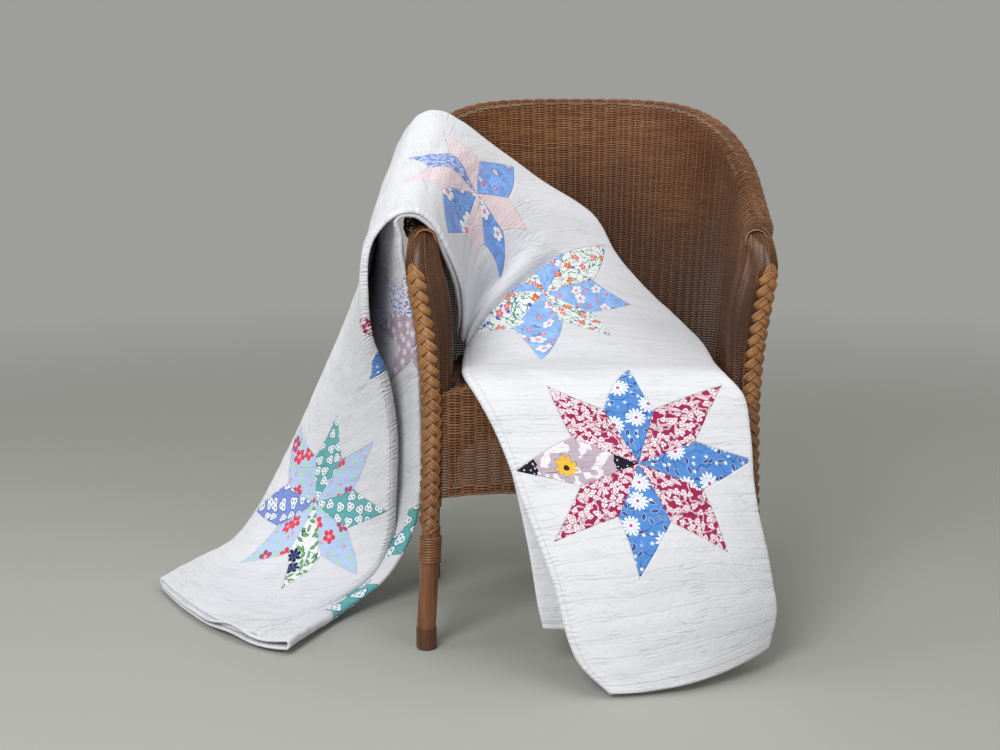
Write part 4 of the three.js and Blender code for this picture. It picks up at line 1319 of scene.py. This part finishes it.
def pale_roses(n, p):
    tone = n.noise(p, 700.0, 2.0)
    n.colour = n.mix(n.ramp(tone, 0.35, 0.65), srgb(158, 188, 230), srgb(202, 217, 240))
    d, g, _ = scatter(n, p, 0.0175, 5.0, 0.9)
    n.paint((170, 222, 176), leaf(n, d, 0.0075, 0.0030), above(n, g, 0.55))
    flower(n, d, 4, 0.3, [(0.0034, (226, 84, 108))], None, [(0.0015, (246, 222, 226))],
           sharp(n, n.minus(0.24, g), 0.1))
    d, _, b = scatter(n, p, 0.054, 7.0, 0.8)
    shape, rho, phi = bloom(n, d, 0.0135, 5, 0.42)
    hue = n.mix(above(n, b, 0.7), srgb(220, 66, 92), srgb(176, 76, 122))
    n.colour = n.mix(shape, n.colour, hue)
    n.paint((240, 150, 166), petal_lines(n, rho, phi, 5, 0.0045), shape)
    n.paint((246, 176, 176), disc(n, rho, 0.0034))


def branches(n, p):
    navy = (28, 34, 92)
    n.colour = srgb(232, 234, 238)
    n.paint(navy, curl(n, p, 30.0, 0.013, 5.3))
    d = scatter(n, p, 0.0150, 4.0, 0.85)[0]
    n.paint((58, 138, 58), leaf(n, d, 0.0084, 0.0031))
    n.paint((196, 224, 190), leaf(n, d, 0.0066, 0.0004))
    flower(n, scatter(n, p, 0.062, 1.0, 0.7)[0], 7, 0.4, [(0.0135, navy)],
           (7, 0.002, (226, 228, 240)))


def mauve_spots(n, p):
    n.colour = srgb(190, 172, 188)
    flower(n, scatter(n, p, 0.026, 3.0, 0.6)[0], 5, 0.2, [(0.0095, (226, 216, 226))], None,
           [(0.0036, (244, 242, 246))])


def blue_sprigs(n, p):
    n.colour = srgb(230, 232, 240)
    n.paint((84, 132, 206), leaf(n, scatter(n, p, 0.0105, 3.0, 0.8)[0], 0.0052, 0.0022))
    n.paint((206, 84, 96), curl(n, p, 70.0, 0.014, 1.2))


def cloth_finish(n, extra=None):
    """Weave, quilting lines, puckers at the hems and soft creases, shared by every patch, with
    painted shade in the quilting grooves and creases.
    """
    s, w, _ = n.split(n.attribute("cloth"))
    flat = n.join(s, w)
    hem = n.math("MINIMUM", w, n.minus(SHEET_WIDTH / 1000, w))
    to_end = n.minus((LENGTH + END_FROM) / 1000, s)
    end = n.math("MINIMUM", n.size(s), n.size(to_end))
    bent = n.scaled(n.minus(n.noise(flat, 7.0, 2.0), 0.5), 0.03, s)
    row = n.math("PINGPONG", bent, QUILTING / 2000)
    groove = n.ramp(row, 0.0, 0.0024, -0.45, 0.0)
    gather = n.times(n.noise(n.join(n.times(s, 45.0), n.times(w, 170.0)), 1.0, 2.0),
                     n.ramp(row, 0.0, 0.006, 0.55, 0.0))
    creased = n.noise(n.join(n.times(s, 52.0), n.times(w, 9.0)), 1.0, 3.0, 0.55)
    crease = n.times(n.line(creased, 0.5, 0.05, -0.7), n.ramp(n.noise(flat, 21.0, 2.0), 0.46, 0.62))
    slant = n.noise(n.join(n.scaled(w, 30.0, n.times(s, 34.0)), n.scaled(s, -8.0, n.times(w, 8.0))),
                    1.0, 3.0, 0.55)
    slanted = n.times(n.line(slant, 0.52, 0.04, -0.6), n.ramp(n.noise(flat, 17.0, 2.0), 0.52, 0.66))
    rumple = n.noise(flat, 95.0, 3.0, 0.6)
    wander = n.times(n.noise(flat, 40.0, 1.0), 14.0)
    ridge, ridge_end = (n.math("SINE", n.scaled(way, 800.0, wander)) for way in (s, w))
    uneven = n.ramp(n.noise(flat, 36.0, 2.0), 0.36, 0.62)
    pucker = n.times(n.times(ridge, uneven), n.ramp(hem, 0.014, 0.030, 0.55, 0.0))
    pucker_end = n.times(ridge_end, n.ramp(to_end, 0.014, 0.026, 0.6, 0.0))
    stitched = n.line(n.math("MINIMUM", hem, end), 0.0135, 0.0013, -0.7)
    height, coarse = groove, n.times(rumple, 1.3)
    for part in (gather, crease, slanted, coarse, pucker, pucker_end, stitched, extra):
        if part is not None:
            height = n.plus(height, part)
    threads = n.times(*(n.math("SINE", n.times(way, 9000.0)) for way in (s, w)))
    height = n.scaled(threads, 0.02, height)
    # Painted shade: the colour darkens a little in the quilting grooves and creases, and its tone
    # is mottled at random.
    shade = n.scaled(n.plus(groove, crease), 0.07, 1.0)
    shade_and_mottle = n.times(shade, n.ramp(n.noise(flat, 16.0, 3.0, 0.6), 0.3, 0.7, 0.965, 1.0))
    n.colour = n.mix(1.0, n.colour, n.join(shade_and_mottle, shade_and_mottle, shade_and_mottle), blend="MULTIPLY")
    n.shader.inputs["Sheen Weight"].default_value = 0.12
    n.shader.inputs["Sheen Roughness"].default_value = 0.5
    return n.finish(n.ramp(rumple, 0.3, 0.7, 0.86, 0.94), n.bump(height, 1.0, 0.001), 0.2)


def star_material(name, prints):
    """Eight diamonds; prints lists (diamond numbers, print) pairs."""
    n = Nodes(name)
    x, y, _ = n.split(n.attribute("star"))
    radius, phi = n.length(n.join(x, y)), n.math("ARCTAN2", y, x)
    number = n.math("ROUND", n.times(phi, 4 / math.pi))
    local = n.scaled(number, -math.pi / 4, phi)
    a, b = (n.times(radius, n.math(wave, local)) for wave in ("COSINE", "SINE"))
    wrapped = n.math("FLOORED_MODULO", n.plus(number, 8.0), 8.0)
    side = n.scaled(a, HALF_TURN, n.times(n.size(b), -1.0))
    tip = n.scaled(a, -HALF_TURN, n.scaled(n.size(b), -1.0, HALF_TURN * TIP / 1000))
    diamond = n.join(a, b)
    shifted = n.vector("ADD", diamond, n.join(0.0, n.times(wrapped, 0.437)))
    colour = WHITE
    for numbers, paint in prints:
        here = 0.0
        for k in numbers:
            here = n.plus(here, n.math("COMPARE", wrapped, float(k), 0.25))
        paint(n, diamond if paint is mauve_daisy else shifted)
        colour = n.mix(here, colour, n.colour)
    n.colour = n.mix(sharp(n, tip, 0.0005), WHITE, colour)
    inside = n.math("GREATER_THAN", tip, 0.0)
    seam_tip = n.ramp(n.size(tip), 0.0, 0.0016, -1.0, 0.0)
    seam_side = n.times(n.ramp(side, 0.0, 0.0016, -1.0, 0.0), inside)
    echo = n.times(n.line(n.math("MINIMUM", side, tip), 0.0065, 0.0012, -0.35), inside)
    return cloth_finish(n, n.plus(n.plus(seam_tip, seam_side), echo))


def white_material():
    n = Nodes("white_quilted_cotton")
    n.colour = WHITE
    return cloth_finish(n)


EVEN, ODD = (0, 2, 4, 6), (1, 3, 5, 7)
light_blue = white_flowers((138, 176, 230), 0.0105, 0.040, (226, 96, 130), 4.0, 0.3)
rose_blue = white_flowers((122, 162, 224), 0.0060, 0.050, (214, 58, 92), 6.0, 0.55)
flower_blue = white_flowers((112, 152, 218), 0.0165, 0.050, (214, 60, 90), 2.0, 0.1)
quilt_materials = [white_material()] + [star_material(name, prints) for name, prints in (
    ("star_crimson_and_blue", [((0, 2, 6), blue_mum), (ODD, crimson_scroll), ((4,), mauve_daisy)]),
    ("star_green_and_blue", [(ODD, green_squiggle), (EVEN, light_blue)]),
    ("star_dots_and_blue", [(ODD, red_dots), ((2,), paisley), ((0,), rose_blue),
                            ((4, 6), flower_blue)]),
    ("star_teal_and_pale_blue", [((6, 4), trefoil((44, 160, 162))), (ODD, pale_roses),
                                 ((0,), trefoil((92, 122, 206))), ((2,), branches)]),
    ("star_mauve_and_sprigs", [((0, 1, 2, 3), mauve_spots), ((4, 5, 6, 7), blue_sprigs)]),
)]

quads = grid_quads(ROWS, columns)
star_flat, xy_flat = star_id.ravel(), star_xy.reshape(-1, 2)
corner_stars = star_flat[quads]
close = np.hypot(xy_flat[quads][..., 0], xy_flat[quads][..., 1]).max(axis=1) < 190
same_star = corner_stars.min(axis=1) == corner_stars.max(axis=1)
face_star = np.where(close & same_star, corner_stars[:, 0], 0)
cloth_value = np.stack([cloth_s / 1000, cloth_w / 1000, 0 * cloth_s], axis=-1).reshape(-1, 3)
star_value = np.column_stack([xy_flat / 1000, 0 * xy_flat[:, 0]])
quilt = mesh_object("quilt_sheet", place(grid.reshape(-1, 3)), quads, quilt_materials[0], "quilt",
                    {"cloth": cloth_value, "star": star_value})
for material in quilt_materials[1:]:
    quilt.data.materials.append(material)
quilt.data.polygons.foreach_set("material_index", face_star.astype(np.int32))
thicken = quilt.modifiers.new("thickness", "SOLIDIFY")
thicken.thickness = CLOTH / 1000
thicken.offset = 0.0
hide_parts("quilt", "quilt_fold_side", "quilt_fold_front")


# ---- floor ----------------------------------------------------------------------------------
def floor_material():
    """Pale studio paper that fades into the backdrop's grey with distance."""
    n = Nodes("studio_floor")
    at = n.position()
    cloud = n.noise(at, 0.8, 2.0)
    n.link(n.mix(cloud, srgb(165, 165, 159), srgb(170, 170, 165)), n.shader.inputs["Base Color"])
    n.shader.inputs["Roughness"].default_value = 0.75
    far = n.length(n.vector("SUBTRACT", at, (0.2, -0.2, 0)))
    away = n.node("MapRange", {0: far, 1: 1.0, 2: 4.6}, interpolation_type="SMOOTHSTEP").outputs[0]
    glow = n.node("Emission", {"Color": (0.342, 0.342, 0.328, 1)})
    mixed = n.node("MixShader", {0: away, 1: n.shader.outputs[0], 2: glow.outputs[0]})
    n.tree.links.new(mixed.outputs[0], n.tree.nodes["Material Output"].inputs["Surface"])
    return n.material


FLOOR = 30.0
corners = [(-FLOOR, -FLOOR, 0), (FLOOR, -FLOOR, 0), (FLOOR, FLOOR, 0), (-FLOOR, FLOOR, 0)]
floor_mesh = bpy.data.meshes.new("studio_floor")
floor_mesh.from_pydata(corners, [], [(0, 1, 2, 3)])
floor_mesh.materials.append(floor_material())
floor = bpy.data.objects.new("studio_floor", floor_mesh)
bpy.context.scene.collection.objects.link(floor)
